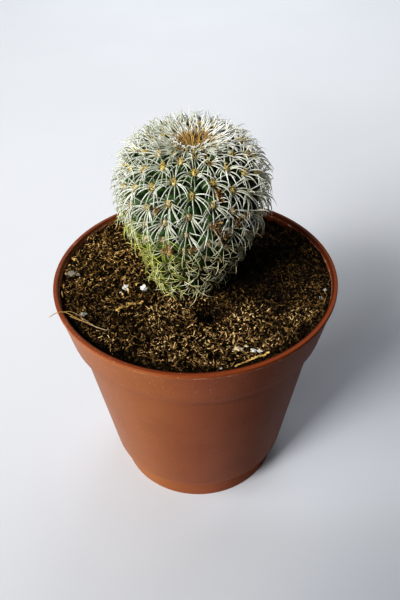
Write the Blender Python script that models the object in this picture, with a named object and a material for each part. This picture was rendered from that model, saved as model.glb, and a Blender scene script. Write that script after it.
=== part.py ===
"""A small white-spined cactus in a round plastic nursery pot of compost.

Metres, +Z up. The origin is the centre of the pot's foot, on the surface that it stands on. The photograph's
camera looks along +Y. The pot, the compost, the plant, the gold tuft in its crown, its withered flowers and the
loose scraps that lie on the compost are separate objects.
"""

import math
import random

import bmesh
import bpy
from mathutils import Matrix, Vector, noise
from mathutils.bvhtree import BVHTree
from mathutils.kdtree import KDTree

MM = 0.001
GAP = 0.3 * MM

# Pot: one thin moulding with a lip, a collar, a tapered wall and a stepped-in foot
POT_SEGMENTS = 56
POT_HEIGHT = 49.0 * MM
LIP_RADIUS = 27.5 * MM
LIP_WIDTH = 0.95 * MM
LIP_HEIGHT = 0.75 * MM
LIP_OVERHANG = 0.2 * MM
LIP_ROUND = 0.22 * MM
COLLAR_BASE = 39.6 * MM
COLLAR_BASE_RADIUS = 25.5 * MM
COLLAR_STEP = 1.2 * MM
WALL = 0.75 * MM
WALL_BASE = 6.2 * MM
WALL_BASE_RADIUS = 19.0 * MM
FOOT_RADIUS = 17.2 * MM
FOOT_FLARE = 0.2 * MM
FOOT_TOP = WALL_BASE - 0.6 * (WALL_BASE_RADIUS - FOOT_RADIUS)
FOOT_RING = 1.5 * MM
FLOOR_RECESS = 0.7 * MM
FLOOR_THICKNESS = 0.9 * MM
DRAIN_RADIUS = 2.2 * MM
DRAIN_CIRCLE = 10.5 * MM
DRAIN_COUNT = 4
DRAIN_SEGMENTS = 16

# Compost
SOIL_LEVEL = 47.2 * MM
SOIL_SEGMENTS = 60
SOIL_RINGS = 15
SOIL_SWELL = 0.7 * MM
SOIL_CRUMB = 0.9 * MM
SOIL_BANK = 0.7 * MM
SOIL_HOLLOW = 1.3 * MM
SOIL_HOLLOW_PLACE = (9.0 * MM, 21.0 * MM)
SOIL_HOLLOW_REACH = 9.0 * MM
EDGE_SLACK = 0.1 * MM
SWELL_SCALE = 11.0 * MM
CRUMB_SCALE = 1.9 * MM
ROOT_HOLE_SLACK = 0.4 * MM
ROOT_HOLE_DEPTHS = (0.0, 0.25, 0.6, 0.95)

# Plant: a club-shaped body with eighteen ribs of tubercles, each with a star of spines
PLANT_X = 0.1 * MM
RIB_PAIRS = 9
FIRST_RIB_DEG = -104.0
RIB_TWIST_DEG_PER_MM = -0.7
WHORL_PITCH = 1.8 * MM
CROWN_PITCH_SHARE = 0.26
FIRST_WHORL = 3.4 * MM
LOWEST_WHORL_OVER_SOIL = 1.3 * MM
TUBERCLE_HEIGHT = 1.0 * MM
FULL_HEIGHT_FROM = 9.0 * MM
FOOT_FADE = 12.0 * MM
PAD_SHARE = 0.2
PAD_PEAK = 0.1 * MM
# Radius and height over the compost of the tubercles' tips, from the crown's hollow down to the root's tip
BODY_OUTLINE = [
    (0.0, 29.6),
    (2.4, 30.0),
    (5.2, 30.5),
    (8.8, 29.0),
    (11.3, 25.6),
    (12.1, 20.6),
    (11.6, 14.9),
    (9.9, 9.2),
    (8.0, 3.9),
    (6.7, 0.0),
    (5.3, -3.4),
    (3.4, -6.8),
    (1.6, -10.6),
    (0.0, -12.6),
]
OUTLINE_STEPS = 12
ROOT_STEPS = 5

# Spines
SPINE_LENGTH = 3.3 * MM
SPINE_MIDDLE_RADIUS = 0.13 * MM
SPINE_SWIRL_DEG = 14.0
SPINE_CLEARANCE = 0.27 * MM
OTHERS_CLEARANCE = 0.5 * MM
SPINE_TRIALS = (1.0, 0.85, 0.7, 0.55)
SAMPLE_SPACING = 0.16 * MM
# Lean over the skin at the root and at the tip, on the sides and in the crown, in degrees
ROOT_LEAN = (44.0, 74.0)
TIP_LEAN = (18.0, 64.0)
BENT_WHORLS = range(4, 14)
BEND_SHARE = 0.45
CROWN_REACH = 10.0 * MM
CROWN_FAN = 0.45
# Irregularity of each spine: spreads of its turn and lift in degrees, and range of its length
TURN_SPREAD = 4.0
LIFT_SPREAD = 5.0
LENGTH_RANGE = (0.85, 1.1)
SPINE_SEED = 7

# Gold tuft in the crown
TUFT_RADIUS = 1.8 * MM
TUFT_HEIGHT = 0.75 * MM
TUFT_SPIKE = 2.5 * MM
TUFT_FAN = 0.6
TUFT_BARE_SHARE = 0.35
TUFT_UNDERSIDE = 0.25
TUFT_SHORTEST = 0.65
TUFT_SEED = 3

# Withered flowers: azimuth and arc length from the crown on the body, length, and height over the tubercles
WITHERED_FLOWERS = [
    (-67.0, 12.7 * MM, 1.7 * MM, 1.05 * MM),
    (-68.0, 19.0 * MM, 2.8 * MM, 1.15 * MM),
    (-113.0, 23.6 * MM, 1.9 * MM, 1.05 * MM),
]
HEART_SHARES = (0.36, 0.45)
HEART_THICKNESS = 0.55 * MM
CRUMPLE = 0.5
SHRED_COUNT = 7
SHRED_RADIUS = 0.13 * MM
SHRED_REACH = (0.2, 0.4)
SHRED_LIFT = 0.3
SHRED_DROOP = 0.9

# Scraps on the compost: place, radius and flatness of each grain, then the two ends and the width of each straw
GRAINS = [
    ("perlite_grain_1", (-13.3, -3.0), 0.85, 0.75),
    ("perlite_grain_2", (-9.9, -2.7), 0.8, 0.8),
    ("perlite_grain_3", (-24.0, 1.8), 1.1, 0.5),
    ("perlite_grain_4", (-20.6, -11.2), 0.75, 0.5),
    ("perlite_grain_5", (10.3, -20.6), 0.85, 0.3),
    ("bark_chip", (7.2, -20.2), 0.9, 0.3),
]
STRAWS = [
    ("straw_1", (-14.8, -10.2), (-9.7, -6.7), 0.75),
    ("straw_2", (6.6, -24.1), (12.9, -21.6), 0.7),
]
GRAIN_LUMPS = 0.35
STRAW_STEPS = 5
STRAW_THICKNESS = 0.6
STRAW_END_SHARE = 0.35

COLOURS = {
    "pot": ((0.36, 0.13, 0.06), 0.5),
    "compost": ((0.055, 0.035, 0.018), 0.95),
    "cactus": ((0.07, 0.16, 0.06), 0.6),
    "gold": ((0.55, 0.33, 0.08), 0.7),
    "withered": ((0.25, 0.12, 0.04), 0.9),
    "perlite": ((0.8, 0.79, 0.75), 0.9),
    "straw": ((0.6, 0.42, 0.13), 0.8),
}


def clear_scene():
    """Empties the startup scene."""
    for obj in list(bpy.data.objects):
        bpy.data.objects.remove(obj)


def make_material(name):
    """A plain surface of the named colour."""
    colour, roughness = COLOURS[name]
    material = bpy.data.materials.new(name)
    material.use_nodes = True
    shader = material.node_tree.nodes["Principled BSDF"]
    shader.inputs["Base Color"].default_value = (*colour, 1.0)
    shader.inputs["Roughness"].default_value = roughness
    shader.inputs["Metallic"].default_value = 0.0
    return material


def add_object(name, bm, material=None, smooth_angle=None):
    """Turns a bmesh into a named object, smooth below the given angle."""
    mesh = bpy.data.meshes.new(name)
    bm.to_mesh(mesh)
    bm.free()
    if smooth_angle is not None:
        mesh.shade_smooth()
        mesh.set_sharp_from_angle(angle=math.radians(smooth_angle))
    obj = bpy.data.objects.new(name, mesh)
    if material:
        mesh.materials.append(material)
    bpy.context.scene.collection.objects.link(obj)
    return obj


def polar(radius, angle, height):
    """The point at a radius and an azimuth in radians round the Z axis."""
    return Vector((radius * math.cos(angle), radius * math.sin(angle), height))


def turned(profile, segments):
    """A closed solid turned from a profile of (radius, height), which starts and ends on the axis and runs
    counter-clockwise round the material, with the axis on its left."""
    bm = bmesh.new()
    rings = []
    for radius, height in profile:
        if radius == 0.0:
            rings.append([bm.verts.new((0.0, 0.0, height))] * segments)
        else:
            turns = (2 * math.pi * i / segments for i in range(segments))
            rings.append([bm.verts.new(polar(radius, angle, height)) for angle in turns])
    for lower, upper in zip(rings, rings[1:]):
        for i in range(segments):
            j = (i + 1) % segments
            corners = dict.fromkeys((lower[i], lower[j], upper[j], upper[i]))
            bm.faces.new(corners)
    return bm


def taper(height, low, high):
    """Radius at a height on a cone through two points of (radius, height)."""
    share = (height - low[1]) / (high[1] - low[1])
    return low[0] + share * (high[0] - low[0])


def wall_radius(height):
    """Outer radius of the pot's tapered wall below its collar."""
    top_radius = COLLAR_BASE_RADIUS - COLLAR_STEP
    return taper(height, (WALL_BASE_RADIUS, WALL_BASE), (top_radius, COLLAR_BASE))


def collar_radius(height):
    """Outer radius of the pot's collar."""
    lip_low = POT_HEIGHT - LIP_HEIGHT
    return taper(height, (COLLAR_BASE_RADIUS, COLLAR_BASE), (LIP_RADIUS - LIP_OVERHANG, lip_low))


def inner_radius(height):
    """Radius of the pot's inside, which widens with the collar."""
    if height <= COLLAR_BASE:
        return wall_radius(height) - WALL
    step_top = COLLAR_BASE + WALL
    if height >= step_top:
        return collar_radius(height) - WALL
    low = (wall_radius(COLLAR_BASE) - WALL, COLLAR_BASE)
    return taper(height, low, (collar_radius(step_top) - WALL, step_top))


def pot_profile():
    """The pot's section, from the middle of its underside, up the outside, and down the inside."""
    floor_top = FLOOR_RECESS + FLOOR_THICKNESS
    foot_inner = FOOT_RADIUS - WALL
    lip_low = POT_HEIGHT - LIP_HEIGHT
    inner_knee = FOOT_TOP + WALL
    return [
        (0.0, FLOOR_RECESS),
        (FOOT_RADIUS - FOOT_RING, FLOOR_RECESS),
        (FOOT_RADIUS - FOOT_RING, 0.0),
        (FOOT_RADIUS - FOOT_FLARE, 0.0),
        (FOOT_RADIUS, FOOT_FLARE),
        (FOOT_RADIUS + FOOT_FLARE, FOOT_TOP),
        (WALL_BASE_RADIUS, WALL_BASE),
        (wall_radius(COLLAR_BASE), COLLAR_BASE),
        (COLLAR_BASE_RADIUS, COLLAR_BASE),
        (LIP_RADIUS - LIP_OVERHANG, lip_low),
        (LIP_RADIUS, lip_low),
        (LIP_RADIUS, POT_HEIGHT - LIP_ROUND),
        (LIP_RADIUS - LIP_ROUND, POT_HEIGHT),
        (LIP_RADIUS - LIP_WIDTH + LIP_ROUND, POT_HEIGHT),
        (LIP_RADIUS - LIP_WIDTH, POT_HEIGHT - LIP_ROUND),
        (inner_radius(COLLAR_BASE + WALL), COLLAR_BASE + WALL),
        (inner_radius(COLLAR_BASE), COLLAR_BASE),
        (inner_radius(inner_knee), inner_knee),
        (foot_inner, FOOT_TOP),
        (foot_inner, floor_top),
        (0.0, floor_top),
    ]


def build_pot():
    """The pot, with drain holes cut in its floor."""
    pot = add_object("pot", turned(pot_profile(), POT_SEGMENTS), make_material("pot"), smooth_angle=30)
    cutters = bpy.data.collections.new("drain_cutters")
    bpy.context.scene.collection.children.link(cutters)
    for i in range(DRAIN_COUNT):
        angle = 2 * math.pi * (i + 0.5) / DRAIN_COUNT
        bm = bmesh.new()
        size = {"radius1": DRAIN_RADIUS, "radius2": DRAIN_RADIUS, "depth": 6 * FLOOR_THICKNESS}
        bmesh.ops.create_cone(bm, cap_ends=True, segments=DRAIN_SEGMENTS, **size)
        cutter = add_object(f"drain_cutter_{i + 1}", bm)
        cutter.location = polar(DRAIN_CIRCLE, angle, FLOOR_RECESS)
        cutter.hide_render = True
        cutter.display_type = "WIRE"
        bpy.context.scene.collection.objects.unlink(cutter)
        cutters.objects.link(cutter)
    cut = pot.modifiers.new("drains", "BOOLEAN")
    cut.operation = "DIFFERENCE"
    cut.operand_type = "COLLECTION"
    cut.collection = cutters


def curve_through(points, steps):
    """Points along a Catmull-Rom curve through the given ones."""
    first = 2 * points[0] - points[1]
    last = 2 * points[-1] - points[-2]
    padded = [first, *points, last]
    found = []
    for a, b, c, d in zip(padded, padded[1:], padded[2:], padded[3:]):
        square = 2 * a - 5 * b + 4 * c - d
        cube = 3 * b - a - 3 * c + d
        for i in range(steps):
            t = i / steps
            found.append(0.5 * (2 * b + (c - a) * t + square * t**2 + cube * t**3))
    found.append(points[-1])
    return found


class Meridian:
    """The body's outline as a function of the arc length from its crown."""

    def __init__(self):
        corners = [Vector((radius, height)) * MM for radius, height in BODY_OUTLINE]
        self.points = curve_through(corners, OUTLINE_STEPS)
        self.arcs = [0.0]
        for a, b in zip(self.points, self.points[1:]):
            self.arcs.append(self.arcs[-1] + (b - a).length)

    def at(self, arc):
        """(radius, height over the compost) and the outward normal in the same plane."""
        arc = min(max(arc, 0.0), self.arcs[-1] * 0.9999)
        i = next(i for i in range(1, len(self.arcs)) if self.arcs[i] > arc)
        a, b = self.points[i - 1], self.points[i]
        share = (arc - self.arcs[i - 1]) / (self.arcs[i] - self.arcs[i - 1])
        along = (b - a).normalized()
        return a.lerp(b, share), Vector((-along.y, along.x))

    def arc_at_height(self, height):
        """Arc length at which the outline comes down to a height over the compost."""
        top = max(range(len(self.points)), key=lambda i: self.points[i].y)
        i = next(i for i in range(top, len(self.points)) if self.points[i].y <= height)
        return self.arcs[i]


MERIDIAN = Meridian()
ARC_AT_SOIL = MERIDIAN.arc_at_height(0.0)


def rib_twist(arc):
    """How far the ribs have turned round the plant at an arc length."""
    return math.radians(RIB_TWIST_DEG_PER_MM) * arc / MM


def plant_point(arc, azimuth, sink=0.0):
    """Point on the plant, sunk below its outline, and the outward normal there. The ribs twist with depth."""
    (radius, height), (out, up) = MERIDIAN.at(arc)
    angle = azimuth + rib_twist(arc)
    centre = Vector((PLANT_X, 0.0, SOIL_LEVEL))
    normal = polar(out, angle, up)
    return centre + polar(radius, angle, height) - normal * sink, normal


def whorl_arcs():
    """Arc lengths of the whorls of areoles, closer together in the crown."""
    lowest = MERIDIAN.arc_at_height(LOWEST_WHORL_OVER_SOIL)
    arcs = [FIRST_WHORL]
    while arcs[-1] < lowest:
        radius = MERIDIAN.at(arcs[-1])[0].x
        arcs.append(arcs[-1] + min(WHORL_PITCH, CROWN_PITCH_SHARE * radius))
    return arcs


def tubercle_height(arc):
    """How far the tubercles stand above the grooves, less in the crown and at the foot."""
    rise = min(1.0, arc / FULL_HEIGHT_FROM)
    fade = min(1.0, (ARC_AT_SOIL - arc) / FOOT_FADE + 0.25)
    return TUBERCLE_HEIGHT * rise * fade


class SpineSpace:
    """Keeps spines apart, and clear of the compost and of what else grows on the plant."""

    def __init__(self, soil, others):
        self.cells = {}
        self.soil = soil
        self.others = KDTree(len(others))
        for i, point in enumerate(others):
            self.others.insert(point, i)
        self.others.balance()

    def cell(self, point):
        return tuple(math.floor(x / SPINE_CLEARANCE) for x in point)

    def is_free(self, points, owner):
        """Whether a spine through the points touches no spine of another owner and nothing else."""
        for point in points:
            if self.others.find(point)[2] < OTHERS_CLEARANCE:
                return False
            if point.z < SOIL_LEVEL + SPINE_LENGTH:
                ground = soil_under(self.soil, point.x, point.y)
                if ground is not None and point.z < ground + OTHERS_CLEARANCE:
                    return False
            x, y, z = self.cell(point)
            for near in ((x + i, y + j, z + k) for i in (-1, 0, 1) for j in (-1, 0, 1) for k in (-1, 0, 1)):
                for other, placed in self.cells.get(near, ()):
                    if other != owner and (placed - point).length < SPINE_CLEARANCE:
                        return False
        return True

    def add(self, points, owner):
        for point in points:
            self.cells.setdefault(self.cell(point), []).append((owner, point))


def grow_spike(bm, face, path, radii):
    """Draws a triangle out along a path into a closed spike, narrowed to each radius and to a point at the end."""
    root = list(face.verts)
    middle = face.calc_center_median()
    outward = [(vert.co - middle).normalized() for vert in root]
    bm.faces.remove(face)
    ring = root
    for i, radius in enumerate(radii):
        along = (path[i + 1] - path[i]).normalized()
        sides = [(side - along * side.dot(along)).normalized() for side in outward]
        following = [bm.verts.new(path[i + 1] + side * radius) for side in sides]
        for a in range(3):
            b = (a + 1) % 3
            bm.faces.new((ring[a], ring[b], following[b], following[a]))
        ring = following
    tip = bm.verts.new(path[-1])
    for a in range(3):
        bm.faces.new((ring[a], ring[(a + 1) % 3], tip))


def sampled(path, spacing=SAMPLE_SPACING):
    """Points along a path, evenly spaced."""
    found = []
    for a, b in zip(path, path[1:]):
        count = max(1, round((b - a).length / spacing))
        found += [a.lerp(b, i / count) for i in range(1, count + 1)]
    return found


def spine_path(face, peak, normal, whorl, arc, scale, draw):
    """The line of a spine that leaves its pad through a face, leaning out and then along the body. Near the crown
    the spines stand up and fan out round its middle."""
    root = face.calc_center_median()
    crown = max(0.0, 1.0 - arc / CROWN_REACH)
    outward = Vector((peak.co.x - PLANT_X, peak.co.y, 0.0)).normalized()
    axis = (normal + outward * CROWN_FAN * crown).normalized()
    away = root - peak.co
    away = (away - axis * away.dot(axis)).normalized()
    away = Matrix.Rotation(math.radians(SPINE_SWIRL_DEG) + draw["turn"], 3, axis) @ away
    directions = []
    for side, top in (ROOT_LEAN, TIP_LEAN):
        lean = math.radians(side + (top - side) * crown) + draw["lift"]
        directions.append(away * math.cos(lean) + axis * math.sin(lean))
    first, second = directions
    length = SPINE_LENGTH * scale * draw["length"]
    if whorl not in BENT_WHORLS:
        return [root, root + (first + second).normalized() * length]
    bend = root + first * BEND_SHARE * length
    return [root, bend, bend + second * (1 - BEND_SHARE) * length]


def corner_key(whorl, site, side):
    """Names the groove corner on one side of a site. A whorl has nine sites."""
    return whorl, site % RIB_PAIRS, side


def cell_corners(whorl, site):
    """The six groove corners round a tubercle, counter-clockwise seen from outside."""
    odd = whorl % 2
    right, left = site + odd, site + odd - 1
    return [
        corner_key(whorl, site, 1),
        corner_key(whorl - 1, right, -1),
        corner_key(whorl - 1, left, 1),
        corner_key(whorl, site, -1),
        corner_key(whorl + 1, left, 1),
        corner_key(whorl + 1, right, -1),
    ]


def site_azimuth(whorl, site):
    """Azimuth of an areole before the ribs' twist. Each whorl is turned by one rib from the last."""
    return 2 * math.pi * (site + 0.5 * (whorl % 2)) / RIB_PAIRS + math.radians(FIRST_RIB_DEG)


def build_cactus(space):
    """The body and its spines: one solid, with a six-sided tubercle for each areole and a spine from each side of
    the areole's pad."""
    arcs = whorl_arcs()
    count = len(arcs)
    step = arcs[1] - arcs[0]
    arc_of = {-1: arcs[0] - step, count: arcs[-1] + WHORL_PITCH, **dict(enumerate(arcs))}
    bm = bmesh.new()
    corner_offset = 2 * math.pi / RIB_PAIRS / 3
    corners = {}
    for whorl in range(-1, count + 1):
        for site in range(RIB_PAIRS):
            for side in (-1, 1):
                azimuth = site_azimuth(whorl, site) + side * corner_offset
                point, _ = plant_point(arc_of[whorl], azimuth, tubercle_height(arc_of[whorl]))
                corners[corner_key(whorl, site, side)] = bm.verts.new(point)
    pads = []
    for whorl in range(count):
        for site in range(RIB_PAIRS):
            centre, normal = plant_point(arc_of[whorl], site_azimuth(whorl, site))
            around = [corners[key] for key in cell_corners(whorl, site)]
            pad = []
            for vert in around:
                offset = vert.co - centre
                offset -= normal * offset.dot(normal)
                pad.append(bm.verts.new(centre + offset * PAD_SHARE))
            peak = bm.verts.new(centre + normal * PAD_PEAK)
            for i in range(6):
                j = (i + 1) % 6
                bm.faces.new((around[i], around[j], pad[j], pad[i]))
                pads.append((bm.faces.new((pad[i], pad[j], peak)), peak, normal, whorl, site))
    close_crown(bm, corners)
    close_root(bm, corners, count)
    grow_spines(bm, pads, arc_of, space)
    bmesh.ops.recalc_face_normals(bm, faces=bm.faces)
    add_object("cactus", bm, make_material("cactus"))


def open_loop(corners, inner, outer):
    """The zigzag of corners at an open end of the body, in order of azimuth."""
    loop = []
    for site in range(RIB_PAIRS):
        loop.append(corners[corner_key(inner, site, -1)])
        loop.append(corners[corner_key(inner, site, 1)])
    between = []
    for site in range(RIB_PAIRS):
        following = site + inner % 2
        between.append(corners[corner_key(outer, following - 1, 1)])
        between.append(corners[corner_key(outer, following, -1)])
    zigzag = []
    for site in range(RIB_PAIRS):
        zigzag += [loop[2 * site], between[2 * site], between[2 * site + 1], loop[2 * site + 1]]
    return zigzag


def close_crown(bm, corners):
    """A nearly flat seat under the gold tuft."""
    middle, _ = plant_point(0.0, 0.0, PAD_PEAK)
    centre = bm.verts.new(middle)
    zigzag = open_loop(corners, 0, -1)
    for a, b in zip(zigzag, zigzag[1:] + zigzag[:1]):
        bm.faces.new((a, b, centre))


def close_root(bm, corners, count):
    """The neck below the last whorl and the root, down to its tip in the compost."""
    ring = open_loop(corners, count - 1, count)
    last = MERIDIAN.arcs[-1]
    sink = tubercle_height(ARC_AT_SOIL)
    for i in range(ROOT_STEPS):
        arc = ARC_AT_SOIL + (last - ARC_AT_SOIL) * i / ROOT_STEPS
        following = []
        for j in range(len(ring)):
            azimuth = site_azimuth(count - 1, 0) + 2 * math.pi * (j - 1.5) / len(ring)
            point, _ = plant_point(arc, azimuth, sink)
            following.append(bm.verts.new(point))
        for j in range(len(ring)):
            k = (j + 1) % len(ring)
            bm.faces.new((ring[k], ring[j], following[j], following[k]))
        ring = following
    tip = bm.verts.new(plant_point(last, 0.0, sink)[0])
    for a, b in zip(ring, ring[1:] + ring[:1]):
        bm.faces.new((b, a, tip))


def grow_spines(bm, pads, arc_of, space):
    """Grows a spine from each side of each pad, shorter or not at all where something is in its way."""
    rng = random.Random(SPINE_SEED)
    for face, peak, normal, whorl, site in pads:
        draw = {
            "turn": rng.gauss(0.0, math.radians(TURN_SPREAD)),
            "lift": rng.gauss(0.0, math.radians(LIFT_SPREAD)),
            "length": rng.uniform(*LENGTH_RANGE),
        }
        for scale in SPINE_TRIALS:
            path = spine_path(face, peak, normal, whorl, arc_of[whorl], scale, draw)
            points = sampled(path)
            if space.is_free(points, (whorl, site)):
                space.add(points, (whorl, site))
                grow_spike(bm, face, path, [SPINE_MIDDLE_RADIUS] * (len(path) - 2))
                break


def points_on(bm):
    """Points on every edge of a mesh, close enough together to stand for it."""
    found = []
    for edge in bm.edges:
        found += sampled([vert.co for vert in edge.verts], 0.3 * MM)
    return found


def build_crown_tuft():
    """The gold felt and new spines in the crown: a low pad with a spike from most of its upper faces, which fan
    out. Returns points on it."""
    rng = random.Random(TUFT_SEED)
    bm = bmesh.new()
    bmesh.ops.create_icosphere(bm, subdivisions=3, radius=1.0)
    for vert in bm.verts:
        height = TUFT_HEIGHT if vert.co.z > 0 else TUFT_HEIGHT * TUFT_UNDERSIDE
        vert.co *= Vector((TUFT_RADIUS, TUFT_RADIUS, height))
    bm.normal_update()
    upper = [face for face in bm.faces if face.normal.z > 0.5]
    for face in upper:
        if rng.random() < TUFT_BARE_SHARE:
            continue
        root = face.calc_center_median()
        lean = Vector((root.x, root.y, 0.0)) * (TUFT_FAN / TUFT_RADIUS)
        length = TUFT_SPIKE * rng.uniform(TUFT_SHORTEST, 1.0)
        along = (Vector((0.0, 0.0, 1.0)) + lean).normalized()
        grow_spike(bm, face, [root, root + along * length], [])
    seat, _ = plant_point(0.0, 0.0)
    seat.z += GAP + TUFT_HEIGHT * TUFT_UNDERSIDE
    bmesh.ops.translate(bm, verts=bm.verts, vec=seat)
    points = points_on(bm)
    add_object("crown_tuft", bm, make_material("gold"))
    return points


def flower_places():
    """Centre, outward normal and downward direction of each withered flower, with its length."""
    places = []
    for azimuth_deg, arc, length, lift in WITHERED_FLOWERS:
        azimuth = math.radians(azimuth_deg) - rib_twist(arc)
        centre, normal = plant_point(arc, azimuth)
        below, _ = plant_point(arc + 1 * MM, azimuth)
        down = (below - centre).normalized()
        places.append((centre + normal * lift, normal, down, length))
    return places


def build_withered_flowers():
    """Each is a crumpled heart with dry shreds that stick out of it and curl down. Returns points on them."""
    material = make_material("withered")
    points = []
    for number, (centre, normal, down, length) in enumerate(flower_places(), 1):
        rng = random.Random(number)
        across = down.cross(normal)
        frame = Matrix((across, down, normal)).transposed()
        heart = Vector((*(share * length for share in HEART_SHARES), HEART_THICKNESS))
        bm = bmesh.new()
        bmesh.ops.create_icosphere(bm, subdivisions=2, radius=1.0)
        for vert in bm.verts:
            crumple = 1 + CRUMPLE * noise.noise(vert.co * 1.7 + Vector((number * 3.0, 0.0, 0.0)))
            vert.co = centre + frame @ (vert.co * crumple * heart)
        bm.normal_update()
        free = [face for face in bm.faces if face.normal.dot(normal) > -0.1]
        for face in rng.sample(free, SHRED_COUNT):
            root = face.calc_center_median()
            away = (face.normal + normal * SHRED_LIFT).normalized()
            reach = length * rng.uniform(*SHRED_REACH)
            bend = root + away * reach
            tip = bend + (away + down * SHRED_DROOP).normalized() * reach
            grow_spike(bm, face, [root, bend, tip], [SHRED_RADIUS])
        points += points_on(bm)
        add_object(f"withered_flower_{number}", bm, material)
    return points


def soil_height(x, y):
    """Height of the compost: a gentle swell with crumbs on it, banked up towards the rim but for a hollow at the
    back on the right."""
    place = Vector((x, y, 0.0))
    swell = noise.noise(place / SWELL_SCALE) * SOIL_SWELL
    crumb = noise.noise(place / CRUMB_SCALE + Vector((31.0, 7.0, 3.0))) * SOIL_CRUMB
    bank = (place.length / LIP_RADIUS) ** 2 * SOIL_BANK
    away = (place - Vector((*SOIL_HOLLOW_PLACE, 0.0))).length
    hollow = math.exp(-((away / SOIL_HOLLOW_REACH) ** 2)) * SOIL_HOLLOW
    return SOIL_LEVEL + swell + crumb + bank - hollow


def build_soil():
    """The compost fills the pot and has a plain hole for the plant's foot and root."""
    edge = inner_radius(SOIL_LEVEL) - GAP - EDGE_SLACK
    floor = FLOOR_RECESS + FLOOR_THICKNESS + GAP
    foot_inner = FOOT_RADIUS - WALL - GAP
    hole = []
    for depth in ROOT_HOLE_DEPTHS:
        (radius, height), _ = MERIDIAN.at(ARC_AT_SOIL + depth * (MERIDIAN.arcs[-1] - ARC_AT_SOIL))
        hole.append((radius + ROOT_HOLE_SLACK, SOIL_LEVEL + height - GAP))
    hole_radius = hole[0][0]
    bm = bmesh.new()

    def ring(radius, height, share):
        """A ring whose centre moves from the plant's axis to the pot's, on the relief where height is None."""
        centre = Vector((PLANT_X * (1 - share), 0.0, 0.0))
        verts = []
        for i in range(SOIL_SEGMENTS):
            point = centre + polar(radius, 2 * math.pi * i / SOIL_SEGMENTS, 0.0)
            point.z = soil_height(point.x, point.y) if height is None else height
            verts.append(bm.verts.new(point))
        return verts

    rings = [ring(radius, height, 0.0) for radius, height in reversed(hole[1:])]
    for i in range(SOIL_RINGS + 1):
        share = i / SOIL_RINGS
        rings.append(ring(hole_radius + (edge - hole_radius) * share, None, share))
    step_top = COLLAR_BASE + WALL + GAP
    below_step = COLLAR_BASE - GAP
    knee = FOOT_TOP + WALL + GAP
    rings.append(ring(inner_radius(step_top) - GAP, step_top, 1.0))
    rings.append(ring(inner_radius(below_step) - GAP, below_step, 1.0))
    rings.append(ring(inner_radius(knee) - GAP, knee, 1.0))
    rings.append(ring(foot_inner, FOOT_TOP + GAP, 1.0))
    rings.append(ring(foot_inner, floor, 1.0))
    for lower, upper in zip(rings, rings[1:]):
        for i in range(SOIL_SEGMENTS):
            j = (i + 1) % SOIL_SEGMENTS
            bm.faces.new((lower[i], upper[i], upper[j], lower[j]))
    bm.faces.new(rings[0])
    bm.faces.new(list(reversed(rings[-1])))
    bmesh.ops.recalc_face_normals(bm, faces=bm.faces)
    bmesh.ops.triangulate(bm, faces=bm.faces)
    surface = BVHTree.FromBMesh(bm)
    add_object("compost", bm, make_material("compost"), smooth_angle=80)
    return surface


def soil_under(surface, x, y):
    """Height of the compost's top at a place, or None beside it."""
    hit = surface.ray_cast(Vector((x, y, 2 * POT_HEIGHT)), Vector((0.0, 0.0, -1.0)))[0]
    return None if hit is None else hit.z


def highest_soil(surface, x, y, reach):
    """Highest compost within reach of a place."""
    offsets = [reach * i / 2 for i in range(-2, 3)]
    heights = [soil_under(surface, x + east, y + north) for east in offsets for north in offsets]
    return max(height for height in heights if height is not None)


def build_grains(surface):
    """White perlite grains and a chip of bark, resting on the compost."""
    materials = {"perlite": make_material("perlite"), "bark": make_material("straw")}
    for number, (name, place, radius, flatness) in enumerate(GRAINS):
        x, y = (value * MM for value in place)
        radius *= MM
        bm = bmesh.new()
        bmesh.ops.create_icosphere(bm, subdivisions=2, radius=radius)
        for vert in bm.verts:
            lump = noise.noise(vert.co / radius * 1.3 + Vector((number * 5.0, 0.0, 0.0)))
            vert.co *= 1 + GRAIN_LUMPS * lump
            vert.co.z *= flatness
        bottom = min(vert.co.z for vert in bm.verts)
        rest = highest_soil(surface, x, y, 1.1 * radius) + GAP
        bmesh.ops.translate(bm, verts=bm.verts, vec=Vector((x, y, rest - bottom)))
        add_object(name, bm, materials[name.split("_")[0]], smooth_angle=60)


def build_straws(surface):
    """Pale straws that lie along the compost and follow its swell."""
    material = make_material("straw")
    for name, start, end, width in STRAWS:
        a, b = (Vector((x, y, 0.0)) * MM for x, y in (start, end))
        side = (b - a).normalized().cross(Vector((0.0, 0.0, 1.0)))
        bm = bmesh.new()
        rings = []
        for i in range(STRAW_STEPS + 1):
            share = i / STRAW_STEPS
            fullness = STRAW_END_SHARE + (1 - STRAW_END_SHARE) * math.sin(math.pi * share)
            half = side * 0.5 * width * MM * fullness
            middle = a.lerp(b, share)
            reach = (b - a).length / STRAW_STEPS
            middle.z = highest_soil(surface, middle.x, middle.y, reach) + GAP
            top = middle + Vector((0.0, 0.0, STRAW_THICKNESS * MM))
            section = (middle - half, middle + half, top + half * 0.5, top - half * 0.5)
            rings.append([bm.verts.new(point) for point in section])
        for lower, upper in zip(rings, rings[1:]):
            for i in range(4):
                j = (i + 1) % 4
                bm.faces.new((lower[i], lower[j], upper[j], upper[i]))
        bm.faces.new(rings[0])
        bm.faces.new(rings[-1])
        bmesh.ops.recalc_face_normals(bm, faces=bm.faces)
        add_object(name, bm, material)


def main():
    clear_scene()
    build_pot()
    surface = build_soil()
    others = build_withered_flowers() + build_crown_tuft()
    build_cactus(SpineSpace(surface, others))
    build_grains(surface)
    build_straws(surface)


main()
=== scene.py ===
"""The looks of a small white-spined cactus in a plastic nursery pot.

Points are numpy arrays in millimetres, in the frame's axes, until mesh_object turns them into a mesh in
metres. The photograph's camera looks along +Y and down, from -Y.
"""

import math
from types import SimpleNamespace

import bmesh
import bpy
import numpy as np
from mathutils import Matrix, Vector, noise


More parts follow.
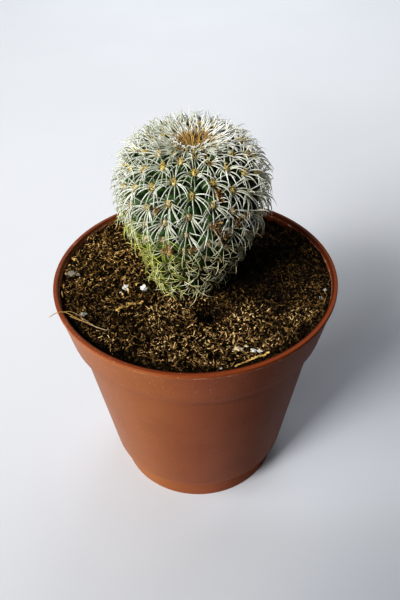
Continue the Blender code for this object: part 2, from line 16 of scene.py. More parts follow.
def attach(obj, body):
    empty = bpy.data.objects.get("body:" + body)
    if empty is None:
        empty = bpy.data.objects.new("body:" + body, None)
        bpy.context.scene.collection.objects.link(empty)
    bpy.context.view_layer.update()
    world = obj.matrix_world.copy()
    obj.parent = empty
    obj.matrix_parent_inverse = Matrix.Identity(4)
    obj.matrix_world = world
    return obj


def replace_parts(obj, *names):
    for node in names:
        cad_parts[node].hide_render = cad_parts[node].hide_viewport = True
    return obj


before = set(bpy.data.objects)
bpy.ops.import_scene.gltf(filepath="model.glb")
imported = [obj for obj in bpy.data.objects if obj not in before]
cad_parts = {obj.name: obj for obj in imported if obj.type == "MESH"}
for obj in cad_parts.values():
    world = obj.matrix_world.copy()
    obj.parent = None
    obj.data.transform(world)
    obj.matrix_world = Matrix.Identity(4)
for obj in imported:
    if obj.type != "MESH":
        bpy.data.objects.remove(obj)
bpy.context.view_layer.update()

MM = 0.001

# Camera: place and axes that the pot's ellipses in the photograph give
CAMERA_PLACE = (0.82, -107.18, 133.82)
CAMERA_FORWARD = (0.0, 0.7597, -0.6502)
CAMERA_RIGHT = (0.9998, -0.0115, -0.0134)
CAMERA_LENS = 42.0
CAMERA_SENSOR = 36.0

# Floor and lights, in metres and watts
FLOOR_HALF = 3.0
SHADOW_SIDE = (0.743, -0.669, 0.0)
LIGHT_TARGET = (0.0, 0.0, 0.04)
WINDOW_DISTANCE = 0.65
WINDOW_COLOUR = (1.0, 0.985, 0.965)
WINDOW_SPREAD_DEG = 80
# Each window's name, degrees in front of the left, degrees up, size and power
WINDOWS = [
    ("window_front", 48, 38, 0.20, 0.80),
    ("window_left", 20, 38, 0.30, 0.32),
    ("window_low", 0, 12, 0.30, 0.14),
]
PAPER_SPREAD_DEG = 110
# Each light over the paper: name, place, target, size, power and colour
PAPER_LIGHTS = [
    ("paper_light", (-0.12, 0.45, 0.40), (-0.12, 0.42, 0.0), 0.4, 0.53, (0.96, 0.98, 1.0)),
    ("paper_light_right", (0.20, 0.50, 0.40), (0.12, 0.20, 0.0), 0.4, 0.50, (0.88, 0.93, 0.98)),
]

# Pot
POT_SEGMENTS = 240
POT_SHARP_DEG = 32
POT_HEIGHT = 49.0
LIP_RADIUS = 27.5
LIP_WIDTH = 0.95
LIP_HEIGHT = 0.75
LIP_OVERHANG = 0.2
LIP_ROUND = 0.22
LIP_UNDER_ROUND = 0.12
COLLAR_BASE = 39.6
COLLAR_BASE_RADIUS = 25.5
COLLAR_STEP = 1.2
COLLAR_ROUND = 0.3
COLLAR_INSET_ROUND = 0.25
INNER_ROUND = 0.3
WALL = 0.75
WALL_BASE = 6.2
WALL_BASE_RADIUS = 19.0
WALL_BASE_ROUND = 0.6
FOOT_RADIUS = 17.2
FOOT_FLARE = 0.2
FOOT_TOP = WALL_BASE - 0.6 * (WALL_BASE_RADIUS - FOOT_RADIUS)
FOOT_TOP_ROUND = 0.35
FOOT_EDGE_ROUND = 0.2
FOOT_RING = 1.5
FOOT_RING_ROUND = 0.15
FLOOR_RECESS = 0.7
FLOOR_THICKNESS = 0.9
DRAIN_RADIUS = 2.2
DRAIN_CIRCLE = 10.5
DRAIN_COUNT = 4
DRAIN_SEGMENTS = 32

# Peat
SOIL_LEVEL = 47.2
SOIL_SWELL = 0.7
SOIL_CRUMB = 0.9
SOIL_BANK = 0.7
SOIL_HOLLOW = 1.3
SOIL_HOLLOW_PLACE = (9.0, 21.0)
SOIL_HOLLOW_REACH = 9.0
PIT = 2.6
PIT_PLACE = (2.4, -10.0)
PIT_REACH = 2.3
SWELL_SCALE = 11.0
CRUMB_SCALE = 1.9
SOIL_GRAIN = 0.45
GRAIN_SCALE = 0.7
SOIL_SECTORS = 360
SOIL_RINGS = 90
SOIL_GAP = 0.3
DARK_PATCH_SCALE = 6.0
# Loose peat: name, count, shortest and longest, thinnest and thickest
LOOSE_PEAT = [
    ("peat_crumbs", 8800, (0.3, 0.7), (0.09, 0.20)),
    ("peat_splinters", 8800, (0.5, 1.5), (0.06, 0.14)),
]
LOOSE_TAPER = (0.55, 1.0, 0.9)
# A splinter's points, as a share of its length from its middle and a share of its bow
LOOSE_BENDS = [(-0.5, 0.0), (-0.18, 0.8), (0.2, 1.0), (0.5, 0.0)]
FIBRE_COUNT = 500
FIBRE_POINTS = 7
FIBRE_TAPER = (0.7, 1.0, 1.0, 1.0, 0.8, 0.6)
FIBRE_GOLD = 0.6

# Plant: areoles on two helices that run down it side by side, from an arc length off the crown's middle
PLANT_X = -0.1
HELICES = 2
HELIX_TURNS = (-8, 16)
SITES_PER_TURN = 10
FIRST_SITE_DEG = -99.5
FIRST_SITE_ARC = 7.15
RIB_TWIST_DEG_PER_MM = -0.7
SITE_PITCH = 1.77
INNERMOST_SITE_ARC = 2.7
LOWEST_SITE_OVER_SOIL = 1.3
TUBERCLE_HEIGHT = 1.15
FULL_HEIGHT_FROM = 9.0
FOOT_FADE = 12.0
FOOT_SHIFT = -1.6
FOOT_SHIFT_BELOW = 8.0
# The outline through the tubercles' tips, as radius and height over the peat
BODY_OUTLINE = [
    (0.0, 29.6), (2.4, 30.0), (5.2, 30.5), (8.8, 29.0), (11.3, 25.6), (12.1, 20.6), (11.4, 14.9),
    (9.3, 9.2), (7.0, 3.9), (5.3, 0.0), (4.6, -3.4), (3.4, -6.8), (1.6, -10.6), (0.0, -12.6),
]
OUTLINE_STEPS = 24
FIRST_ROW_ARC = 0.15
BODY_ROWS = 165
ROOT_ROWS = 14
BODY_COLUMNS = 250

# Spines
RADIALS = (11, 17)
SPINE_STEPS = 8
SPINE_SIDES = 5
SPINE_LENGTH = 3.85
SPINE_RADIUS = 0.115
SPINE_TAPER = (1.05, 1.1, 1.05, 1.0, 0.9, 0.72, 0.45)
CROWN_ARC = 8.0
LOWER_SPINES_UNDER = 15

# Areoles: a pad's half axes, and its bristles
PAD_ACROSS = 0.38
PAD_DOWN = 0.62
PAD_THICKNESS = 0.38
BRISTLES_PER_PAD = 11
BRISTLE_RADIUS = 0.085
BRISTLE_TAPER = (1.0, 1.0, 0.9, 0.6)

# Crown
GOLDEN_ANGLE = math.pi * (3 - math.sqrt(5))
TUFT_RADIUS = 2.55
TUFT_SHIFT = np.array([0.6, -0.8, -0.2])
TUFT_TAPER = (1.0, 1.0, 0.95, 0.85, 0.7, 0.45)
BRISTLE_COUNT = 115
FELT_COUNT = 14
FELT_RADIUS = 1.9
FELT_AXES = np.diag([0.7, 0.7, 0.35])
YOUNG_SPINE_COUNT = 55
YOUNG_SPINE_TAPER = (0.8, 1.0, 1.05, 1.0, 0.95, 0.85, 0.6)

# Flower remains: name, the node that it replaces if any, arc length from the crown, azimuth, size, how gold
REMAINS_LIFT = 1.2
CORE_LUMPS = 5
SHRED_COUNT = 15
SHRED_TAPER = (0.8, 1.2, 1.1, 0.9, 1.0, 0.6)
REMAINS = [
    ("flower_high", "withered_flower_1", 12.9, -69.5, 1.05, 0.75),
    ("flower_middle", "withered_flower_2", 19.9, -68.0, 1.05, 0.2),
    ("flower_low", "withered_flower_3", 22.4, -109.0, 0.95, 0.65),
    ("scrap_under_middle", None, 18.0, -73.0, 1.2, 0.25),
    ("scrap_right", None, 17.7, -50.0, 0.7, 0.35),
    ("scrap_right_low", None, 18.1, -56.0, 0.9, 0.2),
    ("scrap_left", None, 15.2, -117.0, 0.7, 0.5),
    ("scrap_centre", None, 21.8, -90.0, 0.8, 0.35),
    ("scrap_centre_left", None, 22.3, -108.0, 0.8, 0.45),
]

# Perlite on the peat: name, which for a grain is the node that it replaces, place, radius, length, flatness,
# and how white
GRAINS = [
    ("perlite_grain_1", (-13.3, -3.0), 0.60, 1.0, 0.8, 0.75),
    ("perlite_grain_2", (-9.9, -2.7), 0.62, 1.0, 0.85, 1.0),
    ("perlite_grain_3", (-24.2, 1.6), 0.72, 1.6, 0.5, 0.0),
    ("perlite_grain_4", (-20.6, -11.2), 0.42, 1.3, 0.6, 0.15),
    ("perlite_grain_5", (10.0, -20.7), 0.45, 1.3, 0.35, 0.75),
    ("perlite_flake", (11.0, -21.0), 0.34, 1.2, 0.35, 0.8),
    ("perlite_speck_right", (24.6, -5.3), 0.25, 1.2, 0.7, 0.35),
    ("perlite_speck_low", (23.6, -7.0), 0.30, 1.0, 0.7, 0.45),
    ("perlite_speck_front", (4.2, -24.6), 0.17, 1.2, 0.6, 0.6),
    ("perlite_crumb", (-14.4, -3.9), 0.20, 1.2, 0.6, 0.6),
]

# Bark: each flake's place and size, and their half axes
FLAKES = [((7.3, -20.2), 1.0), ((7.9, -20.4), 0.6), ((8.8, -19.9), 0.55)]
FLAKE_AXES = np.array([[0.7, -0.3, 0.1], [0.15, 0.42, 0.0], [0, 0, 0.2]])

# Straws: the node that each replaces, and its stems as start, end and radius
STRAWS = [
    ("straw_1", [((-14.6, -10.0), (-12.3, -8.3), 0.28), ((-12.6, -8.3), (-9.6, -6.8), 0.38)]),
    ("straw_2", [((6.5, -24.1), (9.8, -22.6), 0.20), ((9.5, -22.8), (12.9, -21.6), 0.27)]),
]
STRAW_POINTS = 13

# Root fibres over the lip: name, radius and knots
ROOT_FIBRES = [
    ("root_fibre", 0.075, [
        (-26.6, -12.4, 49.2), (-25.4, -11.6, 49.5), (-23.9, -11.3, 49.4), (-22.0, -12.4, 49.2),
        (-19.9, -13.6, 48.9), (-17.8, -14.7, 48.7), (-15.7, -15.5, 48.5),
    ]),
    ("root_fibre_thin", 0.05, [
        (-24.6, -11.2, 49.3), (-23.1, -11.0, 49.3), (-21.6, -11.6, 49.1), (-20.3, -12.6, 48.8),
        (-18.9, -13.7, 48.6),
    ]),
    ("root_fibre_twist", 0.06, [
        (-22.9, -12.2, 49.2), (-20.9, -13.2, 49.0), (-19.2, -13.8, 48.9), (-17.4, -15.1, 48.6),
    ]),
]


def smooth(x):
    """Smooth step from 0 to 1."""
    x = np.clip(x, 0.0, 1.0)
    return x * x * (3 - 2 * x)


def rise(value, start, width):
    """Smooth step from 0 at a start to 1 at a width beyond it."""
    return smooth((value - start) / width)


def fall(value, end, width):
    """Smooth step from 1 at a width before an end to 0 at the end."""
    return smooth((end - value) / width)


def unit(vectors):
    """Vectors of length one."""
    return vectors / np.linalg.norm(vectors, axis=-1, keepdims=True)


def polar(radius, angle, height):
    """Points at a radius and an azimuth in radians round the Z axis."""
    return np.stack(np.broadcast_arrays(radius * np.cos(angle), radius * np.sin(angle), height), axis=-1)


def add_object(name, data):
    """A new object in the scene."""
    obj = bpy.data.objects.new(name, data)
    bpy.context.scene.collection.objects.link(obj)
    return obj


def mesh_object(name, points, faces, material, attributes=None, smooth_angle=180):
    """A piece from points in millimetres, with an attribute of one number for each point."""
    mesh = bpy.data.meshes.new(name)
    mesh.from_pydata((np.asarray(points) * MM).tolist(), [], faces)
    for key, values in (attributes or {}).items():
        layer = mesh.attributes.new(key, "FLOAT", "POINT")
        layer.data.foreach_set("value", np.asarray(values, np.float32).ravel())
    mesh.shade_smooth()
    if smooth_angle < 180:
        mesh.set_sharp_from_angle(angle=math.radians(smooth_angle))
    mesh.materials.append(material)
    obj = add_object(name, mesh)
    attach(obj, "root")
    return obj


def grid_faces(rows, columns):
    """Quads between rings of points that each close on themselves, facing out where the rings rise
    and their points run counter-clockwise."""
    faces = []
    for i in range(rows - 1):
        for j in range(columns):
            k = (j + 1) % columns
            a, b = i * columns, (i + 1) * columns
            faces.append((a + j, a + k, b + k, b + j))
    return faces


def lathe_faces(rows, columns):
    """Faces between rings, and two fans that join the first and the last ring to a point each."""
    faces = grid_faces(rows, columns)
    first, last = rows * columns, (rows - 1) * columns
    for j in range(columns):
        k = (j + 1) % columns
        faces += [(first, k, j), (first + 1, last + j, last + k)]
    return faces


def shifted(faces, base):
    """Faces whose points are numbered from a base."""
    return [tuple(base + corner for corner in face) for face in faces]


class Shader:
    """Short forms for a node material with one Principled shader."""

    def __init__(self, name, roughness, **sockets):
        self.material = bpy.data.materials.new(name)
        self.material.use_nodes = True
        self.tree = self.material.node_tree
        self.surface = self.tree.nodes["Principled BSDF"]
        self.surface.inputs["Roughness"].default_value = roughness
        for key, value in sockets.items():
            self.surface.inputs[key.replace("_", " ")].default_value = value
        self.place = self.tree.nodes.new("ShaderNodeTexCoord").outputs["Object"]

    def link(self, value, socket):
        """Feeds a socket from another one, a number or a colour."""
        if isinstance(value, bpy.types.NodeSocket):
            self.tree.links.new(value, socket)
        elif hasattr(value, "__len__"):
            socket.default_value = (*value, 1.0) if len(socket.default_value) == 4 else value
        else:
            socket.default_value = value

    def node(self, kind, inputs, **settings):
        """The outputs of a new node with these inputs and settings."""
        node = self.tree.nodes.new(f"ShaderNode{kind}")
        for key, value in settings.items():
            setattr(node, key, value)
        for key, value in inputs.items():
            self.link(value, node.inputs[key])
        return node.outputs

    def attribute(self, name):
        """One of the mesh's attributes, by name."""
        return self.node("Attribute", {}, attribute_name=name)["Fac"]

    def noise(self, size, detail=2.0, roughness=0.5, stretch=None):
        """Noise with features of about this size in millimetres."""
        place = self.place
        if stretch is not None:
            place = self.node("Mapping", {"Vector": place, "Scale": stretch})["Vector"]
        inputs = {"Vector": place, "Scale": 1.0 / (size * MM), "Detail": detail, "Roughness": roughness}
        return self.node("TexNoise", inputs)["Fac"]

    def along(self, direction):
        """Distance from the object's origin along a direction, in metres."""
        return self.node("VectorMath", {0: self.place, 1: direction}, operation="DOT_PRODUCT")["Value"]

    def math(self, operation, a, b=0.0):
        """A sum or the like."""
        return self.node("Math", {0: a, 1: b}, operation=operation)[0]

    def times(self, a, b):
        """A product."""
        return self.math("MULTIPLY", a, b)

    def spread(self, value, low, high, to_low=0.0, to_high=1.0):
        """Maps a range smoothly to another."""
        inputs = {"Value": value, "From Min": low, "From Max": high, "To Min": to_low, "To Max": to_high}
        return self.node("MapRange", inputs, interpolation_type="SMOOTHSTEP")["Result"]

    def mix(self, share, a, b, blend="MIX"):
        """A colour between two."""
        return self.node("Mix", {0: share, 6: a, 7: b}, data_type="RGBA", blend_type=blend)[2]

    def layers(self, colour, *rows, blend="MIX"):
        """A colour under others, each with its share."""
        for share, over in rows:
            colour = self.mix(share, colour, over, blend)
        return colour

    def tints(self, colour, *rows):
        """A colour multiplied by others, each with its share."""
        return self.layers(colour, *rows, blend="MULTIPLY")

    def mottle(self, colour, noise, low, high):
        """A colour multiplied by noise between two numbers."""
        return self.mix(1.0, colour, self.spread(noise, 0.3, 0.7, low, high), "MULTIPLY")

    def bump(self, height, distance, strength=1.0, below=None):
        """Bump of this depth in millimetres, over another bump."""
        inputs = {"Height": height, "Distance": distance * MM, "Strength": strength}
        if below is not None:
            inputs["Normal"] = below
        return self.node("Bump", inputs)["Normal"]

    def finish(self, colour, normal=None, roughness=None):
        """Feeds the surface and gives the material."""
        for key, value in (("Base Color", colour), ("Normal", normal), ("Roughness", roughness)):
            if value is not None:
                self.link(value, self.surface.inputs[key])
        return self.material


def make_camera():
    """The photograph's camera."""
    data = bpy.data.cameras.new("camera")
    data.lens = CAMERA_LENS
    data.sensor_width = CAMERA_SENSOR
    data.clip_start = MM
    forward = Vector(CAMERA_FORWARD).normalized()
    up = Vector(CAMERA_RIGHT).cross(forward).normalized()
    right = forward.cross(up).normalized()
    turn = Matrix((right, up, -forward)).transposed().to_4x4()
    camera = add_object("camera", data)
    camera.matrix_world = Matrix.Translation(Vector(CAMERA_PLACE) * MM) @ turn
    bpy.context.scene.camera = camera


def make_light(name, place, target, size, power, colour, spread):
    """A square soft light that faces a target, with its beam's spread in degrees."""
    data = bpy.data.lights.new(name, "AREA")
    data.shape = "SQUARE"
    data.size = size
    data.energy = power
    data.color = colour
    data.spread = math.radians(spread)
    light = add_object(name, data)
    light.location = place
    light.rotation_euler = (Vector(target) - light.location).to_track_quat("-Z", "Y").to_euler()


def window_place(azimuth, elevation):
    """A place round the pot, by degrees in front of the left and degrees up."""
    along, over = math.radians(azimuth), math.radians(elevation)
    level = WINDOW_DISTANCE * math.cos(over)
    height = LIGHT_TARGET[2] + WINDOW_DISTANCE * math.sin(over)
    return -level * math.cos(along), -level * math.sin(along), height


def floor_material():
    """White paper, paler behind and darkest at the right in front, as the light leaves it; this fall of light
    is painted into its colour, with a painted lift of light along the near edge of the pot's shadow and
    painted shade in the front right corner.
    """
    shader = Shader("floor_paper", 0.9)
    x, y = shader.along((1, 0, 0)), shader.along((0, 1, 0))
    # painted light and shade: darker to the right in front, paler behind, and dimmer on the right
    near = shader.mix(shader.spread(x, -0.03, 0.10), (0.552, 0.582, 0.626), (0.350, 0.366, 0.394))
    dim = shader.spread(x, -0.01, 0.06, 1.0, 0.87)
    undimmed = shader.times(shader.spread(y, 0.10, 0.22), shader.math("SUBTRACT", 1.0, dim))
    # painted light: a lighter band beyond the near edge of the pot's shadow
    shadow_edge_light = shader.spread(shader.along(SHADOW_SIDE), 0.007, 0.020)
    # painted shade: a darker front right corner
    corner = shader.spread(y, -0.045, -0.020, 1.0, 0.0)
    colour = shader.mix(shader.spread(y, -0.10, 0.14), near, (0.728, 0.742, 0.770))
    colour = shader.tints(
        shader.mottle(colour, shader.noise(60.0, 3.0), 0.98, 1.0),
        (1.0, shader.math("ADD", dim, undimmed)),
        (shader.times(shadow_edge_light, shader.spread(y, -0.030, -0.008)), (1.24, 1.25, 1.27)),
        (shader.times(shader.spread(x, 0.0, 0.035), corner), (0.89, 0.90, 0.92)),
    )
    return shader.finish(colour, shader.bump(shader.noise(0.5, 3.0), 0.02, 0.3))


def make_floor():
    """A large sheet of paper under the pot."""
    mesh = bpy.data.meshes.new("floor")
    corners = [(x * FLOOR_HALF, y * FLOOR_HALF, 0.0) for x, y in ((-1, -1), (1, -1), (1, 1), (-1, 1))]
    mesh.from_pydata(corners, [], [(0, 1, 2, 3)])
    mesh.materials.append(floor_material())
    floor = add_object("floor", mesh)


def make_studio():
    """The floor, soft window light from the left and its front, and lights on the paper behind."""
    make_floor()
    world = bpy.data.worlds.new("surround")
    bpy.context.scene.world = world
    world.use_nodes = True
    background = world.node_tree.nodes["Background"]
    background.inputs["Color"].default_value = (0.92, 0.95, 1.0, 1.0)
    background.inputs["Strength"].default_value = 0.02
    for name, azimuth, elevation, size, power in WINDOWS:
        place = window_place(azimuth, elevation)
        make_light(name, place, LIGHT_TARGET, size, power, WINDOW_COLOUR, WINDOW_SPREAD_DEG)
    for row in PAPER_LIGHTS:
        make_light(*row, PAPER_SPREAD_DEG)
    bpy.context.scene.view_settings.view_transform = "Standard"
    bpy.context.scene.view_settings.look = "Medium High Contrast"


def taper(height, low, high):
    """Radius at a height on a cone through two points of (radius, height)."""
    share = (height - low[1]) / (high[1] - low[1])
    return low[0] + share * (high[0] - low[0])


def wall_radius(height):
    """Outer radius of the pot's tapered wall below its collar."""
    top_radius = COLLAR_BASE_RADIUS - COLLAR_STEP
    return taper(height, (WALL_BASE_RADIUS, WALL_BASE), (top_radius, COLLAR_BASE))


def collar_radius(height):
    """Outer radius of the pot's collar."""
    lip_low = POT_HEIGHT - LIP_HEIGHT
    return taper(height, (COLLAR_BASE_RADIUS, COLLAR_BASE), (LIP_RADIUS - LIP_OVERHANG, lip_low))


def inner_radius(height):
    """Radius of the pot's inside, which widens with the collar."""
    if height <= COLLAR_BASE:
        return wall_radius(height) - WALL
    step_top = COLLAR_BASE + WALL
    if height >= step_top:
        return collar_radius(height) - WALL
    return taper(height, (inner_radius(COLLAR_BASE), COLLAR_BASE), (inner_radius(step_top), step_top))


def rounded(before, corner, after, radius, steps=5):
    """Points of an arc that rounds a corner of a profile."""
    before, corner, after = (np.array(p, float) for p in (before, corner, after))
    start = corner + unit(before - corner) * radius
    end = corner + unit(after - corner) * radius
    shares = np.linspace(0, 1, steps)
    return [tuple((1 - t) ** 2 * start + 2 * t * (1 - t) * corner + t**2 * end) for t in shares]


def pot_profile():
    """The pot's section, from the middle of its underside, up the outside, and down the inside."""
    floor_top = FLOOR_RECESS + FLOOR_THICKNESS
    foot_inner = FOOT_RADIUS - WALL
    lip_low = POT_HEIGHT - LIP_HEIGHT
    inner_knee = FOOT_TOP + WALL
    corners = [
        ((0.0, FLOOR_RECESS), 0),
        ((FOOT_RADIUS - FOOT_RING, FLOOR_RECESS), FOOT_EDGE_ROUND),
        ((FOOT_RADIUS - FOOT_RING, 0.0), FOOT_RING_ROUND),
        ((FOOT_RADIUS, 0.0), FOOT_EDGE_ROUND),
        ((FOOT_RADIUS + FOOT_FLARE, FOOT_TOP), FOOT_TOP_ROUND),
        ((WALL_BASE_RADIUS, WALL_BASE), WALL_BASE_ROUND),
        ((wall_radius(COLLAR_BASE), COLLAR_BASE), COLLAR_INSET_ROUND),
        ((COLLAR_BASE_RADIUS, COLLAR_BASE), COLLAR_ROUND),
        ((LIP_RADIUS - LIP_OVERHANG, lip_low), LIP_UNDER_ROUND),
        ((LIP_RADIUS, lip_low), LIP_UNDER_ROUND),
        ((LIP_RADIUS, POT_HEIGHT), LIP_ROUND),
        ((LIP_RADIUS - LIP_WIDTH, POT_HEIGHT), LIP_ROUND),
        ((inner_radius(COLLAR_BASE + WALL), COLLAR_BASE + WALL), INNER_ROUND),
        ((inner_radius(COLLAR_BASE), COLLAR_BASE), INNER_ROUND),
        ((inner_radius(inner_knee), inner_knee), INNER_ROUND),
        ((foot_inner, FOOT_TOP), INNER_ROUND),
        ((foot_inner, floor_top), INNER_ROUND),
        ((0.0, floor_top), 0),
    ]
    profile = [corners[0][0]]
    for (before, _), (corner, radius), (after, _) in zip(corners, corners[1:], corners[2:]):
        profile += rounded(before, corner, after, radius)
    return profile + [corners[-1][0]]


def pot_material():
    """Terracotta-coloured plastic, faintly satin, with fine speckle, moulding rings and a few scratches, and
    with painted light and shade: a painted sheen on its left, painted shade on its right, and painted marks
    at its foot, collar and lip.
    """
    shader = Shader("pot_plastic", 0.42, Specular_Tint=(1.0, 0.97, 0.70, 1.0))
    x, y = shader.along((1, 0, 0)), shader.along((0, 1, 0))
    height = shader.along((0, 0, 1 / MM))
    square = shader.math("ADD", shader.times(x, x), shader.times(y, y))
    radius = shader.math("DIVIDE", shader.math("SQRT", square), MM)
    # painted sheen: the left side is lighter and yellower
    painted_sheen_left = shader.spread(x, -0.010, 0.002, 1.0, 0.0)
    # painted shade: the right side is darker, and its sheen is turned down
    painted_shade_right = shader.spread(x, -0.003, 0.014)
    shader.link(shader.spread(painted_shade_right, 0.0, 1.0, 0.20, 0.03), shader.surface.inputs["Specular IOR Level"])
    foot = shader.spread(height, 2.0, WALL_BASE + 4.0, 1.0, 0.0)
    collar = shader.spread(height, COLLAR_BASE, COLLAR_BASE + 3.0)
    lip = shader.spread(height, POT_HEIGHT - 0.2, POT_HEIGHT - 0.1)
    lip_inner = LIP_RADIUS - LIP_WIDTH
    inner = shader.spread(radius, lip_inner + 0.2, lip_inner + 0.4, 1.0, 0.0)
    edge = shader.math("ABSOLUTE", shader.math("SUBTRACT", height, POT_HEIGHT - LIP_HEIGHT - 0.05))
    # pale specks of mould flash along the lip's lower edge, also a painted highlight of that edge
    flash_and_glint = shader.spread(shader.noise(0.8, 4.0, 0.7), 0.5, 0.62, 0.15, 1.0)
    scratch = shader.spread(shader.noise(1.6, 3.0, 0.6, (0.25, 0.25, 2.2)), 0.68, 0.74)
    speck = shader.spread(shader.noise(0.35, 2.0), 0.62, 0.74)
    chalk = shader.spread(shader.noise(0.28, 1.0), 0.70, 0.77, 0.0, 0.75)
    chalk = shader.times(chalk, shader.spread(height, COLLAR_BASE, COLLAR_BASE + 2.0, 0.1, 1.0))
    # moulding rings at the collar's base, drawn only as paler lines: painted highlights along the small
    # ridges
    rings = []
    for ring, share in ((COLLAR_BASE + 0.1, 0.5), (COLLAR_BASE + 1.1, 0.35)):
        away = shader.math("ABSOLUTE", shader.math("SUBTRACT", height, ring))
        rings.append((shader.spread(away, 0.03, 0.14, share, 0.0), (0.34, 0.12, 0.06)))
    cloud = shader.spread(shader.noise(9.0, 3.0), 0.35, 0.65)
    colour = shader.tints(
        shader.mix(cloud, (0.225, 0.050, 0.013), (0.250, 0.060, 0.017)),
        (painted_sheen_left, (1.15, 1.46, 1.12)),
        (painted_shade_right, (0.71, 0.68, 0.56)),
        # painted reflection of the floor: lighter and bluer towards the foot
        (foot, (1.17, 1.32, 1.45)),
        # painted light: the collar is lighter, except on its shaded right side
        (shader.times(collar, shader.spread(x, 0.0, 0.014, 1.0, 0.0)), (1.18, 1.20, 1.08)),
    )
    colour = shader.layers(
        colour,
        (lip, (0.215, 0.050, 0.016)),
        # painted shade: a dark line along the lip's inner edge
        (shader.times(inner, lip), (0.085, 0.018, 0.005)),
        *rings,
        # mould flash and painted highlight along the lip's lower edge
        (shader.times(shader.spread(edge, 0.08, 0.28, 0.9, 0.0), flash_and_glint), (0.70, 0.50, 0.40)),
        (shader.times(scratch, 0.3), (0.45, 0.20, 0.11)),
        (shader.times(speck, 0.2), (0.32, 0.11, 0.05)),
        (shader.times(chalk, shader.spread(x, -0.008, 0.012, 1.0, 0.3)), (0.72, 0.56, 0.46)),
    )
    dust = shader.spread(shader.noise(0.5, 4.0, 0.7), 0.56, 0.7)
    normal = shader.bump(shader.noise(0.3, 3.0), 0.012, 0.6)
    normal = shader.bump(shader.noise(6.0, 2.0), 0.10, 0.35, normal)
    return shader.finish(colour, normal, shader.spread(dust, 0.0, 1.0, 0.40, 0.55))


def drain_cutter():
    """Short rods that stand where the pot's drain holes are."""
    rods = bmesh.new()
    size = {"radius1": DRAIN_RADIUS * MM, "radius2": DRAIN_RADIUS * MM, "depth": 6 * FLOOR_THICKNESS * MM}
    for i in range(DRAIN_COUNT):
        place = polar(DRAIN_CIRCLE, 2 * np.pi * (i + 0.5) / DRAIN_COUNT, FLOOR_RECESS) * MM
        matrix = Matrix.Translation(place)
        bmesh.ops.create_cone(rods, cap_ends=True, segments=DRAIN_SEGMENTS, matrix=matrix, **size)
    mesh = bpy.data.meshes.new("drains")
    rods.to_mesh(mesh)
    rods.free()
    return add_object("drains", mesh)


def build_pot():
    """The pot with its drain holes."""
    profile = pot_profile()
    angles = np.linspace(0, 2 * np.pi, POT_SEGMENTS, endpoint=False)
    rings = [polar(radius, angles, height) for radius, height in profile[1:-1]]
    points = np.concatenate([*rings, [[0, 0, profile[0][1]]], [[0, 0, profile[-1][1]]]])
    faces = lathe_faces(len(rings), POT_SEGMENTS)
    pot = mesh_object("pot_shell", points, faces, pot_material(), smooth_angle=POT_SHARP_DEG)
    cutter = drain_cutter()
    cut = pot.modifiers.new("drains", "BOOLEAN")
    cut.operation = "DIFFERENCE"
    cut.object = cutter
    evaluated = pot.evaluated_get(bpy.context.evaluated_depsgraph_get())
    holed = bpy.data.meshes.new_from_object(evaluated)
    pot.modifiers.clear()
    pot.data = holed
    bpy.data.objects.remove(cutter)
    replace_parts(pot, "pot")


def curve_through(points, steps):
    """Points along a Catmull-Rom curve through the given ones."""
    padded = [2 * points[0] - points[1], *points, 2 * points[-1] - points[-2]]
    found = []
    for a, b, c, d in zip(padded, padded[1:], padded[2:], padded[3:]):
        for i in range(steps):
            t = i / steps
            square = 2 * a - 5 * b + 4 * c - d
            cube = 3 * b - a - 3 * c + d
            found.append(0.5 * (2 * b + (c - a) * t + square * t**2 + cube * t**3))
    found.append(points[-1])
    return np.array(found)


OUTLINE = curve_through([np.array(p) for p in BODY_OUTLINE], OUTLINE_STEPS)
OUTLINE_ARCS = np.concatenate([[0.0], np.cumsum(np.linalg.norm(np.diff(OUTLINE, axis=0), axis=1))])
OUTLINE_TOP = int(np.argmax(OUTLINE[:, 1]))
LOOK_AHEAD = 0.25


def arc_at_height(height):
    """Arc length from the crown at which the outline comes down to a height over the peat."""
    below = OUTLINE[OUTLINE_TOP:, 1] <= height
    return OUTLINE_ARCS[OUTLINE_TOP + int(np.argmax(below))]


ARC_AT_SOIL = arc_at_height(0.0)


def outline_at(arc):
    """Radius and height of the outline at arc lengths."""
    radius = np.interp(arc, OUTLINE_ARCS, OUTLINE[:, 0])
    height = np.interp(arc, OUTLINE_ARCS, OUTLINE[:, 1])
    return radius, height


def plant_point(arc, azimuth, lift=0.0):
    """Points on the plant, lifted off its outline, and the outward normals and directions down the ribs."""
    radius, height = outline_at(arc)
    before = outline_at(np.maximum(arc - LOOK_AHEAD, 0.0))
    after = outline_at(np.minimum(arc + LOOK_AHEAD, OUTLINE_ARCS[-1]))
    along = unit(np.stack([after[0] - before[0], after[1] - before[1]], axis=-1))
    angle = azimuth + np.radians(RIB_TWIST_DEG_PER_MM) * arc
    normal = polar(-along[..., 1], angle, along[..., 0])
    down = polar(along[..., 0], angle, along[..., 1])
    place = polar(radius, angle, height + SOIL_LEVEL) + normal * np.asarray(lift)[..., None]
    place[..., 0] += PLANT_X + FOOT_SHIFT * fall(height, FOOT_SHIFT_BELOW, FOOT_SHIFT_BELOW)
    return place, normal, down


def site_arc(phase):
    """Arc length of the site at a phase along the helices, where 1 is the step from one helix to the next."""
    if phase >= 0:
        return FIRST_SITE_ARC + SITE_PITCH * phase
    return FIRST_SITE_ARC * math.exp(phase * SITE_PITCH / FIRST_SITE_ARC)


